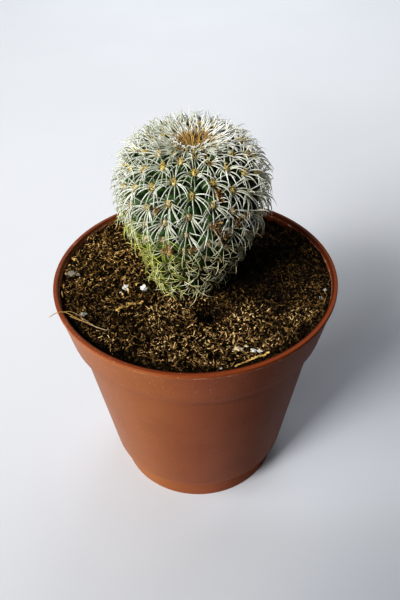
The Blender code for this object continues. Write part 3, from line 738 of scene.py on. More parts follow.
def areole_sites():
    """Arc length and azimuth, before the ribs' twist, of every areole."""
    lowest = arc_at_height(LOWEST_SITE_OVER_SOIL)
    turn = 2 * np.pi / SITES_PER_TURN
    found = []
    first, last = HELIX_TURNS
    for helix in range(HELICES):
        for i in range(first * SITES_PER_TURN, last * SITES_PER_TURN):
            place = i + helix / HELICES
            arc = site_arc(helix + place * HELICES / SITES_PER_TURN)
            if INNERMOST_SITE_ARC < arc < lowest:
                found.append((arc, np.radians(FIRST_SITE_DEG) + turn * place))
    return found


SITES = areole_sites()


def tubercle_field(arc, azimuth):
    """How near to a tubercle's tip each point is, from 0 in the grooves to 1."""
    radius = outline_at(arc)[0]
    nearest = np.full(np.broadcast(arc, azimuth).shape, 1e9)
    second = nearest.copy()
    for site, direction in SITES:
        turn = (azimuth - direction + np.pi) % (2 * np.pi) - np.pi
        distance = np.hypot(radius * turn, arc - site)
        second = np.minimum(second, np.maximum(nearest, distance))
        nearest = np.minimum(nearest, distance)
    cell = np.clip(radius * np.pi / (2 * SITES_PER_TURN), 0.4, 2.0)
    dome = 1 - 0.5 * np.clip(nearest / cell, 0, 1.4) ** 2
    groove = smooth((second - nearest) / (0.75 * cell))
    return dome * groove


def tubercle_height(arc):
    """How far the tubercles stand above the grooves, less in the crown and at the foot."""
    growth = np.minimum(1.0, arc / FULL_HEIGHT_FROM)
    fade = np.clip((ARC_AT_SOIL - arc) / FOOT_FADE + 0.25, 0.0, 1.0)
    return TUBERCLE_HEIGHT * growth * fade


def body_material():
    """Dark green waxy skin, yellower low down, with a lighter blue-grey waxy tint on the tubercles' tips that
    is partly a painted sheen, and painted shade: near black in the grooves, on the right side and low down
    towards the peat.
    """
    shader = Shader("cactus_skin", 0.5, Specular_IOR_Level=0.2)
    tip = shader.attribute("tip")
    patch = shader.spread(shader.noise(2.2, 3.0), 0.35, 0.65)
    # a lighter blue-grey waxy tint on the tubercles' tips, partly a painted sheen
    tip_wax_and_sheen = shader.spread(tip, 0.35, 0.95)
    tip_wax_and_sheen = shader.times(tip_wax_and_sheen, shader.spread(shader.noise(0.9, 3.0), 0.3, 0.7, 0.35, 1.0))
    groove = shader.spread(tip, 0.0, 0.45)
    green = shader.mix(patch, (0.016, 0.048, 0.008), (0.035, 0.088, 0.017))
    green = shader.mix(tip_wax_and_sheen, green, (0.050, 0.116, 0.034))
    yellow = shader.mix(patch, (0.035, 0.065, 0.004), (0.13, 0.18, 0.012))
    colour = shader.layers(
        # painted shade: the grooves between the tubercles are near black
        shader.mix(groove, (0.003, 0.006, 0.002), green),
        (shader.times(shader.attribute("low"), groove), yellow),
        # painted shade: near black on the right side and low down
        (shader.attribute("dirt"), (0.006, 0.004, 0.002)),
    )
    normal = shader.bump(shader.noise(0.25, 3.0), 0.03, 0.5)
    normal = shader.bump(shader.noise(1.1, 2.0), 0.12, 0.5, normal)
    return shader.finish(colour, normal)


def build_body():
    """The plant's body: twisted ribs of rounded tubercles, down to the root's tip in the peat."""
    fine_end = ARC_AT_SOIL + 1.0
    above = np.linspace(FIRST_ROW_ARC, fine_end, BODY_ROWS)
    below = np.linspace(fine_end, OUTLINE_ARCS[-1] - 0.1, ROOT_ROWS + 1)[1:]
    arcs = np.concatenate([above, below])[:, None]
    azimuths = np.linspace(0, 2 * np.pi, BODY_COLUMNS, endpoint=False)[None, :]
    tip = tubercle_field(arcs, azimuths)
    lift = -tubercle_height(arcs) * (1 - tip)
    place, _, _ = plant_point(np.broadcast_to(arcs, tip.shape), azimuths, lift)
    ends = [plant_point(arc, 0.0)[0] for arc in (0.0, OUTLINE_ARCS[-1])]
    points = np.concatenate([place.reshape(-1, 3), ends])
    faces = [tuple(reversed(face)) for face in lathe_faces(len(arcs), BODY_COLUMNS)]
    x, over = place[..., 0], place[..., 2] - SOIL_LEVEL
    left = fall(x, 4.0, 10.0)
    low = fall(over, 19.0, 6.0) * left**1.5
    # painted shade: darker on the right side, and near black low down towards the peat, most on the right
    dirt = np.maximum(0.75 * rise(x, 1.0, 9.0), 0.95 * fall(over, 17.0, 7.0) * (1 - 0.5 * left))
    shares = {"tip": tip, "low": low, "dirt": dirt}
    attributes = {key: np.append(values, [0.5, 0.5]) for key, values in shares.items()}
    body = mesh_object("cactus_body", points, faces, body_material(), attributes)
    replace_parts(body, "cactus")


def areoles():
    """Every areole as (arc, height over the peat, place, normal, down, across)."""
    found = []
    for arc, azimuth in SITES:
        place, normal, down = plant_point(arc, azimuth)
        found.append((arc, place[2] - SOIL_LEVEL, place, normal, down, np.cross(down, normal)))
    return found


def tubes(name, paths, radii, material, slot, attributes, sides=SPINE_SIDES, flat=1.0, smooth_angle=180):
    """Closed tubes along paths of equal point counts, each drawn out to its last point.

    There is a radius for each point but the last. An attribute has one number for each tube, or one for each
    of its points.
    """
    paths = np.asarray(paths)
    count, steps, _ = paths.shape
    radii = np.broadcast_to(radii, (count, steps - 1))
    along = unit(np.diff(paths, axis=1))
    helper = np.where(np.abs(along[:, :1, 2:]) > 0.9, [1.0, 0.0, 0.0], [0.0, 0.0, 1.0])[:, 0]
    side = unit(np.cross(along[:, 0], helper))
    rings = []
    turns = 2 * np.pi * np.arange(sides)[:, None] / sides
    for i in range(steps - 1):
        tangent = along[:, i] if i == 0 else unit(along[:, i] + along[:, i - 1])
        side = unit(side - tangent * np.sum(side * tangent, axis=1, keepdims=True))
        other = np.cross(tangent, side) * flat
        circle = side[:, None] * np.cos(turns) + other[:, None] * np.sin(turns)
        rings.append(paths[:, i, None] + circle * radii[:, i, None, None])
    rings = np.stack(rings, axis=1).reshape(count, -1, 3)
    points = np.concatenate([rings, paths[:, -1:]], axis=1)
    per_tube = points.shape[1]
    template = grid_faces(steps - 1, sides)
    last = (steps - 2) * sides
    template += [(last + j, last + (j + 1) % sides, per_tube - 1) for j in range(sides)]
    template.append(tuple(range(sides - 1, -1, -1)))
    faces = []
    for i in range(count):
        faces += shifted(template, i * per_tube)
    spread = {}
    levels = np.concatenate([np.repeat(np.arange(steps - 1), sides), [steps - 1]])
    for key, values in attributes.items():
        values = np.asarray(values, float).reshape(count, -1)
        spread[key] = np.broadcast_to(values, (count, steps))[:, levels]
    spread["along"] = np.broadcast_to(levels / (steps - 1), (count, per_tube))
    return mesh_object(name, points.reshape(-1, 3), faces, material, spread, smooth_angle)


def tube_rows(name, rows, keys, shape, material, slot, **options):
    """Tubes from rows of a path, its radius and a number for each key, with radii that follow a shape."""
    paths, radii, *values = (np.array(column) for column in zip(*rows))
    widths = radii.reshape(len(rows), -1) * shape
    return tubes(name, paths, widths, material, slot, dict(zip(keys, values)), **options)


def spine_path(root, axis, heading, lean, length, droop=0.0, steps=SPINE_STEPS):
    """A curve that starts along a heading, leans towards an axis and droops along a vector.

    It leans by lean[0] degrees at the root and lean[1] at the tip.
    """
    share = np.linspace(0, 1, steps - 1)[:, None]
    leaning = np.radians(lean[0] + (lean[1] - lean[0]) * share)
    direction = unit(heading * np.cos(leaning) + axis * np.sin(leaning) + droop * share**2.2)
    return np.concatenate([[root], root + np.cumsum(direction, axis=0) * length / (steps - 1)])


def spine_material():
    """Cream spines, gold at the base in the crown, yellow-green and then straw-brown towards the peat."""
    glow = {"Subsurface_Weight": 0.6, "Subsurface_Scale": 0.3 * MM, "Subsurface_Radius": (1.0, 0.95, 0.8)}
    shader = Shader("spine_horn", 0.45, **glow)
    along, tone = shader.attribute("along"), shader.attribute("tone")
    base = shader.spread(along, 0.0, 0.50, 0.8, 0.0)
    colour = shader.layers(
        # the tone holds painted light and shade that each areole's place sets
        shader.mix(tone, (0.37, 0.40, 0.29), (0.94, 0.96, 0.90)),
        (shader.times(shader.attribute("gold"), base), (0.52, 0.36, 0.11)),
        (shader.attribute("green"), shader.mix(tone, (0.13, 0.17, 0.005), (0.62, 0.66, 0.06))),
        (shader.attribute("old"), shader.mix(tone, (0.07, 0.05, 0.015), (1.0, 0.90, 0.48))),
        (shader.spread(along, 0.0, 0.18, 0.35, 0.0), (0.55, 0.42, 0.20)),
    )
    colour = shader.mottle(colour, shader.noise(0.3, 2.0), 0.88, 1.06)
    return shader.finish(colour, shader.bump(shader.noise(0.12, 2.0), 0.01, 0.4))


def spine_zone(arc, over, x, y):
    """An areole's share in each zone of the plant, and its spines' tone, which holds painted light: brighter
    on the crown's far side, at the far left and on the shaded right above the tangle.
    """
    zone = SimpleNamespace()
    zone.crown = fall(arc, 9.5, 5.0)
    zone.upright = fall(arc, 12.5, 6.0)
    zone.left = fall(x, 3.0, 9.0)
    zone.shaded = rise(x, 1.0, 9.0)
    zone.shoulder = fall(arc, 15.0, 5.0) * rise(x, 0.0, 6.0)
    zone.tangle = fall(over, 19.5, 6.0)
    zone.green = fall(over, 19.5 + 2.0 * zone.left, 4.0)
    low = fall(over, 16.5 + 3.0 * (1 - zone.left), 5.0)
    # painted shade: the shaded right side also takes the old spines' straw colour
    zone.old = max(low, 0.35 * zone.shaded * (1 - zone.crown))
    # painted light: the tone rises on the crown's far side, at the far left and on the shaded right
    far_side = rise(x + y, -1.0, 7.0)
    zone.tone = 0.02 + 0.10 * fall(x, -3.0, 6.0) + zone.crown * (0.05 + 0.70 * far_side)
    zone.tone += 0.45 * zone.shaded * rise(over, 14.0, 8.0)
    return zone


def spine_axis(rng, arc, place, normal, crown):
    """The direction that an areole's spines stand round: outward, and in the crown along a funnel."""
    outward = unit(np.array([place[0] - PLANT_X, place[1], 0.0]))
    tilt = math.radians(42 + 5.5 * arc)
    funnel = outward * math.sin(tilt) + np.array([0.0, 0.0, math.cos(tilt)])
    return unit(normal * (1 - crown) + funnel * crown + rng.normal(0, 0.10 - 0.06 * crown, 3))


def spine_row(rng, areole, zone, axis, angle):
    """One spine at an angle round its areole, as its path, radius, gold, green, old and tone."""
    _, _, place, normal, down, across = areole
    crown, left, tangle = zone.crown, zone.left, zone.tangle
    ahead, aside = math.cos(angle), math.sin(angle)
    heading = down * ahead + across * aside
    reach = 0.35 * abs(aside) + 0.55 * abs(ahead)
    root = place + heading * reach * (1 - 0.5 * crown) - normal * 0.12
    heading = unit(heading - axis * heading.dot(axis))
    stray = 1.3 - 0.8 * crown + 1.4 * tangle
    inward = 34.0 if ahead < 0 else 0.0
    lean = (
        56 - 26 * tangle + 10 * crown + rng.normal(0, 7 * stray),
        -4 - 6 * tangle + (26 + inward) * crown + rng.normal(0, 10 * stray),
    )
    droop = down * (1.85 + 0.4 * ahead) * rng.uniform(0.6, 1.25)
    droop = droop * (1 - 0.6 * tangle) * (1 - 0.4 * zone.upright)
    droop = droop + across * rng.normal(0, 0.25 - 0.15 * crown + 0.9 * tangle)
    droop = droop + down * rng.normal(0, 0.6 * tangle)
    longer = (0.08 * ahead + 0.06 * abs(aside)) * (1 - crown)
    length = SPINE_LENGTH * (1 + longer) * rng.uniform(0.75, 1.15)
    length *= 1 - 0.16 * zone.shoulder
    length *= (1 - 0.10 * crown) * (1 + rng.uniform(-0.4, 0.2) * tangle) * (1 - 0.2 * tangle * (1 - left))
    path = spine_path(root, axis, heading, lean, length, droop)
    radius = SPINE_RADIUS * (1 - 0.37 * tangle) * rng.uniform(0.85, 1.15)
    pale = 0.3 if rng.uniform(0, 1) < 0.12 else 1.0
    gold = crown * rng.uniform(0.5, 1.0)
    green = zone.green * (0.55 + 0.45 * left) * rng.uniform(0.75, 1.0) * pale
    old = zone.old * rng.uniform(0.5, 1.0) * (1 - 0.75 * left) * pale
    # painted shade: the low tangle's tone is a little dimmer on the left
    bright = rng.uniform(0.22 * tangle, 0.55 + (0.75 - 0.2 * left) * tangle)
    return path, radius, gold, green, old, min(1.0, zone.tone * (1 - tangle) + bright)


def build_spines():
    """Fine spines round every areole, which droop like a spider's legs and make a funnel in the crown."""
    rng = np.random.default_rng(11)
    groups = {"spines_crown": [], "spines_upper": [], "spines_lower": []}
    for areole in areoles():
        arc, over, place, normal, _, _ = areole
        zone = spine_zone(arc, over, place[0], place[1])
        axis = spine_axis(rng, arc, place, normal, zone.crown)
        count = rng.integers(*RADIALS) * (1 - 0.38 * zone.tangle)
        count = int(count * (1 - 0.22 * zone.crown) * (1 - 0.15 * zone.shaded))
        start = rng.uniform(0, 2 * np.pi)
        low = "spines_upper" if over > LOWER_SPINES_UNDER else "spines_lower"
        group = "spines_crown" if arc < CROWN_ARC else low
        for i in range(count):
            angle = start + 2 * np.pi * (i + rng.uniform(-0.4, 0.4)) / count
            angle -= (1 - zone.crown) * (0.34 * math.sin(angle) - 0.26 * math.sin(2 * angle))
            groups[group].append(spine_row(rng, areole, zone, axis, angle))
    material = spine_material()
    keys = ("gold", "green", "old", "tone")
    for name, rows in groups.items():
        sides = SPINE_SIDES if name != "spines_lower" else SPINE_SIDES - 1
        piece = tube_rows(name, rows, keys, SPINE_TAPER, material, "cactus", sides=sides)
        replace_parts(piece, "cactus")


def felt_material():
    """Woolly felt, from gold in the crown to beige and grey-brown."""
    shader = Shader("areole_felt", 0.9)
    tone, wool = shader.attribute("tone"), shader.noise(0.12, 4.0, 0.7)
    colour = shader.layers(
        shader.mix(tone, (0.60, 0.48, 0.27), (0.84, 0.72, 0.48)),
        (shader.attribute("gold"), shader.mix(tone, (0.60, 0.44, 0.09), (0.86, 0.68, 0.24))),
        (shader.attribute("old"), shader.mix(tone, (0.04, 0.026, 0.010), (0.20, 0.13, 0.05))),
    )
    return shader.finish(shader.mottle(colour, wool, 0.6, 1.25), shader.bump(wool, 0.08))


def sphere(levels):
    """Points and faces of a unit icosphere."""
    bm = bmesh.new()
    bmesh.ops.create_icosphere(bm, subdivisions=levels, radius=1.0)
    points = np.array([vert.co for vert in bm.verts])
    faces = [tuple(vert.index for vert in face.verts) for face in bm.faces]
    bm.free()
    return points, faces


def lumps(name, rows, material, levels=2, roughness=0.35):
    """Noisy ellipsoids in one piece, from rows of a place, three half axes, a seed and attributes."""
    ball, ball_faces = sphere(levels)
    points, faces = [], []
    attributes = {key: [] for key in rows[0][3]}
    for place, axes, seed, values in rows:
        offset = Vector((seed * 3.7, seed * 1.3, 0.0))
        bulge = np.array([1 + roughness * noise.noise(Vector(p) * 1.6 + offset) for p in ball])
        faces += shifted(ball_faces, len(points) * len(ball))
        points.append(place + (ball * bulge[:, None]) @ np.array(axes))
        for key, value in values.items():
            attributes[key].append(np.full(len(ball), value))
    attributes = {key: np.concatenate(values) for key, values in attributes.items()}
    return mesh_object(name, np.concatenate(points), faces, material, attributes)


def build_areoles():
    """A felt pad on each areole, with a tuft of short bristles that are gold in the upper ones."""
    rng = np.random.default_rng(5)
    pads, rows = [], []
    for arc, over, place, normal, down, across in areoles():
        old = fall(over, 17.0, 6.0)
        gold = rise(over, 20.0, 8.0) * rng.uniform(0.7, 1.0)
        size = (0.25 + 0.8 * rise(arc, 3.0, 4.5)) * (1 - 0.5 * old)
        axes = [across * PAD_ACROSS * size, down * PAD_DOWN * size, normal * PAD_THICKNESS * size]
        values = {"gold": gold, "old": old, "tone": rng.uniform(0, 1)}
        pads.append((place + normal * 0.05, axes, rng.uniform(0, 99), values))
        for _ in range(int(BRISTLES_PER_PAD - 5 * old)):
            spot = rng.normal(0, 1, 2) * (0.12, 0.25) * size
            root = place + across * spot[0] + down * spot[1] + normal * 0.1
            heading = unit(across * rng.normal() + down * (rng.normal() - 0.7))
            lean = (rng.uniform(58, 88), rng.uniform(40, 80))
            path = spine_path(root, normal, heading, lean, rng.uniform(0.6, 1.15) * size, steps=5)
            rows.append((path, BRISTLE_RADIUS * rng.uniform(0.8, 1.2), gold, old, rng.uniform(0, 1)))
    material = felt_material()
    felt = lumps("areole_felt", pads, material)
    keys = ("gold", "old", "tone")
    bristles = tube_rows("areole_bristles", rows, keys, BRISTLE_TAPER, material, "gold", sides=4)
    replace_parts(felt, "cactus")
    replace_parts(bristles, "cactus")


def tuft_material():
    """Gold-brown bristles with paler tips, some of them old and dark."""
    shader = Shader("crown_bristle", 0.55)
    colour = shader.layers(
        shader.mix(shader.attribute("tone"), (0.32, 0.17, 0.03), (0.70, 0.46, 0.12)),
        (shader.attribute("old"), (0.15, 0.06, 0.015)),
        (shader.spread(shader.attribute("along"), 0.55, 1.0, 0.0, 0.6), (0.72, 0.62, 0.38)),
    )
    return shader.finish(shader.mottle(colour, shader.noise(0.2, 2.0), 0.8, 1.1))


def build_tuft(rng, seat):
    """Gold-brown bristles that stand in the crown's hollow and fan out."""
    up = np.array([0.0, 0.0, 1.0])
    rows = []
    for i in range(BRISTLE_COUNT):
        share = math.sqrt((i + 0.5) / BRISTLE_COUNT)
        outward = polar(1.0, i * GOLDEN_ANGLE + rng.normal(0, 0.2), 0.0)
        root = seat + TUFT_SHIFT + outward * TUFT_RADIUS * share + up * 0.1
        fan = 84 - 38 * share + 12 * min(0.0, outward[1])
        lean = (fan + rng.normal(0, 12), fan - rng.uniform(-10, 36))
        path = spine_path(root, up, outward, lean, rng.uniform(2.0, 3.5), rng.normal(0, 0.45, 3), 7)
        rows.append((path, rng.uniform(0.085, 0.135), rng.uniform(0, 1) ** 1.5 * 0.7, rng.uniform(0, 1)))
    piece = tube_rows("crown_bristles", rows, ("old", "tone"), TUFT_TAPER, tuft_material(), "gold")
    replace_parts(piece, "crown_tuft")


def build_crown_felt(rng, seat):
    """The low felt pad that the tuft stands in."""
    rows = []
    for i in range(FELT_COUNT):
        place = seat + polar(FELT_RADIUS * math.sqrt((i + 0.5) / FELT_COUNT), i * GOLDEN_ANGLE, 0.15)
        rows.append((place, FELT_AXES, i * 1.7, {"gold": 0.8, "old": 0.55, "tone": rng.uniform(0, 1)}))
    felt = lumps("crown_felt", rows, bpy.data.materials["areole_felt"])
    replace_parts(felt, "crown_tuft")


def build_young_spines(rng):
    """A ring of short curled white spines round the tuft."""
    rows = []
    for i in range(YOUNG_SPINE_COUNT):
        place, normal, down = plant_point(rng.uniform(2.1, 3.9), i * GOLDEN_ANGLE)
        heading = unit(down + np.cross(down, normal) * rng.normal(0, 0.9))
        lean = (rng.uniform(65, 100), rng.uniform(-50, 10))
        path = spine_path(place, normal, heading, lean, rng.uniform(1.1, 1.9))
        rows.append((path, rng.uniform(0.10, 0.15), 0.0, 0.0, 0.0, rng.uniform(0.6, 1.0)))
    keys = ("gold", "green", "old", "tone")
    material = bpy.data.materials["spine_horn"]
    young = tube_rows("spines_young", rows, keys, YOUNG_SPINE_TAPER, material, "cactus")
    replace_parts(young, "cactus")


def build_crown():
    """The crown's tuft, its felt and its young spines."""
    rng = np.random.default_rng(8)
    seat = plant_point(0.0, 0.0)[0]
    build_tuft(rng, seat)
    build_crown_felt(rng, seat)
    build_young_spines(rng)


def withered_material():
    """Dry flower tissue, from dark brown to orange-gold, with pale torn edges."""
    shader = Shader("withered_tissue", 0.75)
    colour = shader.layers(
        shader.mix(shader.attribute("tone"), (0.12, 0.065, 0.025), (0.64, 0.41, 0.12)),
        (shader.spread(shader.noise(0.45, 3.0), 0.4, 0.62), (0.045, 0.020, 0.010)),
        (shader.spread(shader.attribute("along"), 0.7, 1.0, 0.0, 0.6), (0.55, 0.42, 0.26)),
    )
    return shader.finish(colour, shader.bump(shader.noise(0.15, 3.0, 0.6), 0.08))


def core_row(rng, centre, across, down, normal, size, tone):
    """One lump of a flower's crumpled core."""
    shift = across * rng.normal(0, 0.22) + down * rng.normal(0, 0.38) + normal * rng.normal(0, 0.15)
    axes = np.array([
        across * rng.uniform(0.3, 0.5),
        down * rng.uniform(0.35, 0.6),
        normal * rng.uniform(0.2, 0.4),
    ])
    values = {"tone": np.clip(tone + rng.normal(0, 0.2), 0, 1), "along": rng.uniform(0, 0.6)}
    return centre + size * shift, axes * size, rng.uniform(0, 99), values


def shred_row(rng, centre, across, down, normal, size, tone):
    """One curled shred of a flower, as its path, radius and tone."""
    angle = rng.uniform(0, 2 * np.pi)
    heading = down * math.cos(angle) + across * math.sin(angle)
    root = centre + size * (heading * rng.uniform(0.0, 0.3) + down * rng.normal(0, 0.3))
    lean = (rng.uniform(20, 80), rng.uniform(-60, 60))
    length = size * rng.uniform(0.8, 1.6)
    path = spine_path(root, normal, heading, lean, length, rng.normal(0, 0.6, 3), 7)
    return path, rng.uniform(0.10, 0.24) * size, np.clip(tone + rng.normal(0, 0.3), 0, 1)


def build_withered():
    """Crumpled flower remains caught among the spines: a core of lumps with curled shreds."""
    rng = np.random.default_rng(17)
    material = withered_material()
    for name, node, arc, azimuth, size, tone in REMAINS:
        twist = math.radians(RIB_TWIST_DEG_PER_MM) * arc
        place, normal, down = plant_point(arc, math.radians(azimuth) - twist)
        spot = (place + normal * REMAINS_LIFT, np.cross(down, normal), down, normal, size, tone)
        rows = [core_row(rng, *spot) for _ in range(CORE_LUMPS)]
        piece = lumps(f"{name}_core", rows, material, 3, 0.9)
        rows = [shred_row(rng, *spot) for _ in range(SHRED_COUNT)]
        style = (["tone"], SHRED_TAPER, material, "withered")
        shreds = tube_rows(f"{name}_shreds", rows, *style, sides=6, flat=0.3)
        if node:
            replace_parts(piece, node)
            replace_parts(shreds, node)


def pit_share(x, y):
    """How deep in the dark pit before the plant a place is, from 0 to 1 in its middle."""
    return math.exp(-((math.hypot(x - PIT_PLACE[0], y - PIT_PLACE[1]) / PIT_REACH) ** 2))


SOIL_EDGE = inner_radius(SOIL_LEVEL)
SOIL_NECK = float(outline_at(ARC_AT_SOIL)[0])


def soil_height(x, y):
    """Height of the peat's top: the solid's relief with finer grain."""
    place = Vector((x, y, 0.0))
    swell = noise.noise(place / SWELL_SCALE) * SOIL_SWELL
    crumb = noise.noise(place / CRUMB_SCALE + Vector((31.0, 7.0, 3.0))) * SOIL_CRUMB
    grain = noise.noise(place / GRAIN_SCALE + Vector((5.0, 9.0, 1.0))) * SOIL_GRAIN
    bank = (place.length / LIP_RADIUS) ** 2 * SOIL_BANK
    away = math.hypot(x - SOIL_HOLLOW_PLACE[0], y - SOIL_HOLLOW_PLACE[1])
    hollow = math.exp(-((away / SOIL_HOLLOW_REACH) ** 2)) * SOIL_HOLLOW
    return SOIL_LEVEL + swell + crumb + grain + bank - hollow - pit_share(x, y) * PIT


def painted_light_share(x, y):
    """Share of its brightness that a grain keeps, as painted shade: less in darker patches, in a painted
    shadow right of the plant, near the lip in front, at the left, at the right behind, and in the pit.
    """
    patch = smooth(0.5 + 1.6 * noise.noise(Vector((x, y, 0.0)) / DARK_PATCH_SCALE + Vector((3.0, 4.0, 0.0))))
    shade = 1 - 0.75 * math.exp(-(((x - 9.0) / 6.0) ** 2) - ((y - 2.0) / 9.0) ** 2)
    front = 1 - 0.5 * rise(math.hypot(x, y), 23.5, 2.0) * fall(y, -8.0, 8.0)
    left = 1 - 0.20 * fall(x, -6.0, 6.0) * fall(y, 4.0, 8.0)
    right = 1 - 0.30 * rise(x, 8.0, 8.0) * rise(y, -12.0, 6.0)
    return (0.86 + 0.24 * patch) * shade * front * left * right * (1 - min(1.0, 1.3 * pit_share(x, y)))


def goldness(x, y):
    """How golden the peat is: most at the left and behind the plant."""
    return 0.6 + 0.4 * fall(x, -2.0, 12.0) * rise(y, -14.0, 14.0)


def peat_material(name, base):
    """Dry fibrous peat, dark brown to gold-brown by each grain's tone, which holds painted shade, or by noise
    in the base, which is painted near black as the shaded gaps between the grains.
    """
    shader = Shader(name, 0.85, Specular_IOR_Level=0.08)
    tone = shader.spread(shader.noise(0.5, 4.0, 0.7), 0.42, 0.62) if base else shader.attribute("tone")
    gold = 1.0 if base else shader.attribute("gold")
    streak = shader.noise(0.12, 3.0, 0.6)
    colour = shader.layers(
        shader.mix(shader.spread(tone, 0.0, 0.4), (0.001, 0.0006, 0.0003), (0.019, 0.010, 0.003)),
        (shader.spread(tone, 0.44, 0.66), shader.mix(gold, (0.27, 0.165, 0.072), (0.235, 0.128, 0.030))),
        (shader.spread(tone, 0.72, 0.86), shader.mix(gold, (0.92, 0.70, 0.40), (0.70, 0.45, 0.15))),
    )
    if base:
        # painted shade: the body under the loose peat is darkened nearly to black, as the shaded gaps between
        # the grains
        colour = shader.mix(0.85, colour, (0.004, 0.0025, 0.0015))
    return shader.finish(shader.mottle(colour, streak, 0.65, 1.25), shader.bump(streak, 0.05, 0.8))


def build_peat():
    """The peat's body: fine relief on top, and sides that follow the pot's inside."""
    edge, neck = SOIL_EDGE - 0.05, SOIL_NECK - 1.0
    angles = np.linspace(0, 2 * np.pi, SOIL_SECTORS, endpoint=False)
    rings = [polar(neck - 0.5, angles, SOIL_LEVEL - 3.0)]
    rings[0][:, 0] += PLANT_X + FOOT_SHIFT
    for share in np.linspace(0, 1, SOIL_RINGS):
        ring = polar(neck + (edge - neck) * share, angles, 0.0)
        ring[:, 0] += (PLANT_X + FOOT_SHIFT) * (1 - share)
        ring[:, 2] = [soil_height(x, y) for x, y, _ in ring]
        rings.append(ring)
    for height in (COLLAR_BASE + WALL + SOIL_GAP, COLLAR_BASE - SOIL_GAP, FOOT_TOP + WALL + SOIL_GAP):
        rings.append(polar(inner_radius(height) - SOIL_GAP, angles, height))
    for height in (FOOT_TOP, FLOOR_RECESS + FLOOR_THICKNESS):
        rings.append(polar(FOOT_RADIUS - WALL - SOIL_GAP, angles, height + SOIL_GAP))
    faces = [tuple(reversed(face)) for face in grid_faces(len(rings), SOIL_SECTORS)]
    last = (len(rings) - 1) * SOIL_SECTORS
    faces.append(tuple(range(SOIL_SECTORS)))
    faces.append(tuple(last + i for i in range(SOIL_SECTORS - 1, -1, -1)))
    material = peat_material("peat", True)
    piece = mesh_object("peat_body", np.concatenate(rings), faces, material)
    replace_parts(piece, "compost")


def on_peat(rng, inner, outer):
    """A random place on the peat between two radii."""
    radius = math.sqrt(rng.uniform(inner**2, outer**2))
    angle = rng.uniform(0, 2 * np.pi)
    return radius * math.cos(angle), radius * math.sin(angle)


def loose_row(rng, neck, edge, lengths, widths):
    """One bent splinter on the peat, as its path, radii, tone and gold. It lies along a wall that is near."""
    length = rng.uniform(*lengths)
    x, y = on_peat(rng, neck, edge - 0.2)
    yaw = rng.uniform(0, 2 * np.pi)
    spare = max(0.0, edge - math.hypot(x, y))
    if length / 2 > spare:
        yaw = math.atan2(y, x) + np.pi / 2 + rng.normal(0, 0.25)
    pitch = rng.normal(0, 0.5)
    level = math.cos(pitch)
    direction = np.array([math.cos(yaw) * level, math.sin(yaw) * level, math.sin(pitch)])
    width = rng.uniform(*widths)
    rise_over = rng.uniform(-0.1, 0.5) + abs(math.sin(pitch)) * length * 0.3
    centre = np.array([x, y, soil_height(x, y) + rise_over])
    bow = np.cross(direction, rng.normal(0, 1, 3)) * 0.07 * length
    path = [centre + direction * length * share + bow * bend for share, bend in LOOSE_BENDS]
    radii = width * rng.uniform(0.6, 1.3, 3)
    return path, radii, rng.uniform(0, 1) * painted_light_share(x, y), goldness(x, y) * rng.uniform(0.75, 1.0)


def build_loose_peat():
    """Thousands of splinters and crumbs of peat lying on its surface."""
    rng = np.random.default_rng(21)
    material = peat_material("peat_grain", False)
    edge, neck = SOIL_EDGE - 0.3, SOIL_NECK - 1.0
    options = {"sides": 4, "flat": 0.6, "smooth_angle": 40}
    for name, count, lengths, widths in LOOSE_PEAT:
        rows = [loose_row(rng, neck, edge, lengths, widths) for _ in range(count)]
        tube_rows(name, rows, ("tone", "gold"), LOOSE_TAPER, material, "compost", **options)


def build_fibres():
    """Fine root fibres over the peat."""
    rng = np.random.default_rng(33)
    edge, neck = SOIL_EDGE - 0.4, SOIL_NECK - 0.5
    rows = []
    while len(rows) < FIBRE_COUNT:
        x, y = on_peat(rng, neck, edge)
        yaw, turn = rng.uniform(0, 2 * np.pi), rng.normal(0, 0.35)
        step = rng.uniform(0.3, 0.8)
        path = []
        for _ in range(FIBRE_POINTS):
            path.append((x, y, soil_height(x, y) + 0.25 + rng.uniform(0, 0.15)))
            yaw += turn + rng.normal(0, 0.15)
            x += math.cos(yaw) * step
            y += math.sin(yaw) * step
        reaches = [math.hypot(*point[:2]) for point in path]
        if neck < min(reaches) and max(reaches) < edge:
            radius = rng.uniform(0.035, 0.075)
            rows.append((path, radius, rng.uniform(0.4, 1.0) * painted_light_share(x, y), FIBRE_GOLD))
    material = bpy.data.materials["peat_grain"]
    tube_rows("peat_fibres", rows, ("tone", "gold"), FIBRE_TAPER, material, "compost", sides=4)


def perlite_material():
    """Porous white grains, some of them stained by the peat."""
    shader = Shader("perlite", 0.9)
    pit = shader.noise(0.3, 3.0, 0.7)
    white = shader.mix(shader.attribute("tone"), (0.20, 0.18, 0.14), (0.84, 0.83, 0.80))
    colour = shader.mix(shader.spread(pit, 0.35, 0.6, 0.45, 0.0), white, (0.20, 0.18, 0.15))
    return shader.finish(colour, shader.bump(pit, 0.12))


def build_perlite():
    """Perlite grains and specks on the peat."""
    material = perlite_material()
    for number, (name, (x, y), radius, stretch, flatness, white) in enumerate(GRAINS):
        place = np.array([x, y, soil_height(x, y) + 0.35 + radius * flatness * 0.6])
        axes = np.diag([radius * stretch, radius * 0.9, radius * flatness])
        row = (place, axes, number * 2.3, {"tone": white})
        piece = lumps(name.replace("grain", "lump"), [row], material, 4, 0.9)
        if "grain" in name:
            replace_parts(piece, name)


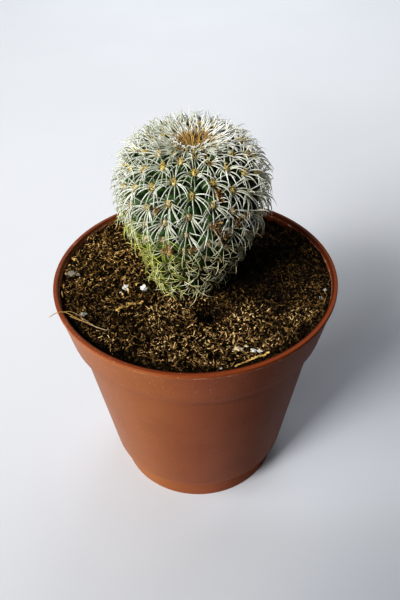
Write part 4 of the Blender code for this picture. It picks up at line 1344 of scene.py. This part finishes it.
def bark_material():
    """Pale yellowish bark."""
    shader = Shader("bark", 0.9)
    grain = shader.noise(0.35, 4.0, 0.7)
    colour = shader.mix(shader.spread(grain, 0.35, 0.65), (0.26, 0.18, 0.09), (0.82, 0.70, 0.48))
    return shader.finish(colour, shader.bump(grain, 0.15))


def build_bark():
    """A few flakes of bark in one piece."""
    rows = []
    for (x, y), size in FLAKES:
        place = np.array([x, y, soil_height(x, y) + 0.5])
        rows.append((place, FLAKE_AXES * size, 4.4 * size, {"tone": 0.5}))
    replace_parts(lumps("bark_flake", rows, bark_material(), 3, 1.1), "bark_chip")


def straw_material():
    """Dry yellow straw with brown fibres."""
    shader = Shader("straw", 0.6)
    fibre = shader.noise(0.35, 3.0, 0.7)
    colour = shader.mix(shader.spread(fibre, 0.42, 0.60), (0.17, 0.09, 0.02), (0.80, 0.55, 0.15))
    return shader.finish(colour, shader.bump(fibre, 0.05, 0.8))


def build_straws():
    """Flat straws that lie over the peat's relief."""
    rng = np.random.default_rng(2)
    material = straw_material()
    for name, spans in STRAWS:
        paths = []
        for start, end, _ in spans:
            line = np.linspace(start, end, STRAW_POINTS) + rng.normal(0, 0.05, (STRAW_POINTS, 2))
            heights = [max(soil_height(x + dx, y) for dx in (-0.4, 0, 0.4)) + 0.42 for x, y in line]
            heights = np.convolve(np.pad(heights, 1, mode="edge"), [0.25, 0.5, 0.25], "valid")
            paths.append(np.column_stack([line, heights]))
        widths = np.array([span[2] for span in spans])[:, None] * rng.uniform(0.75, 1.2, STRAW_POINTS - 1)
        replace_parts(tubes(f"{name}_stem", paths, widths, material, "straw", {}, sides=8, flat=0.6), name)


def build_root_fibres():
    """Thin brown root fibres over the pot's lip."""
    material = bpy.data.materials["crown_bristle"]
    for name, radius, knots in ROOT_FIBRES:
        path = curve_through([np.array(p) for p in knots], 4)
        attributes = {"old": [np.linspace(0.1, 1.0, len(path))], "tone": [0.7]}
        tubes(name, [path], radius, material, "straw", attributes, sides=6)


def main():
    """Everything in the scene."""
    make_camera()
    make_studio()
    build_pot()
    build_body()
    build_spines()
    build_areoles()
    build_crown()
    build_withered()
    build_peat()
    build_loose_peat()
    build_fibres()
    build_perlite()
    build_bark()
    build_straws()
    build_root_fibres()


main()
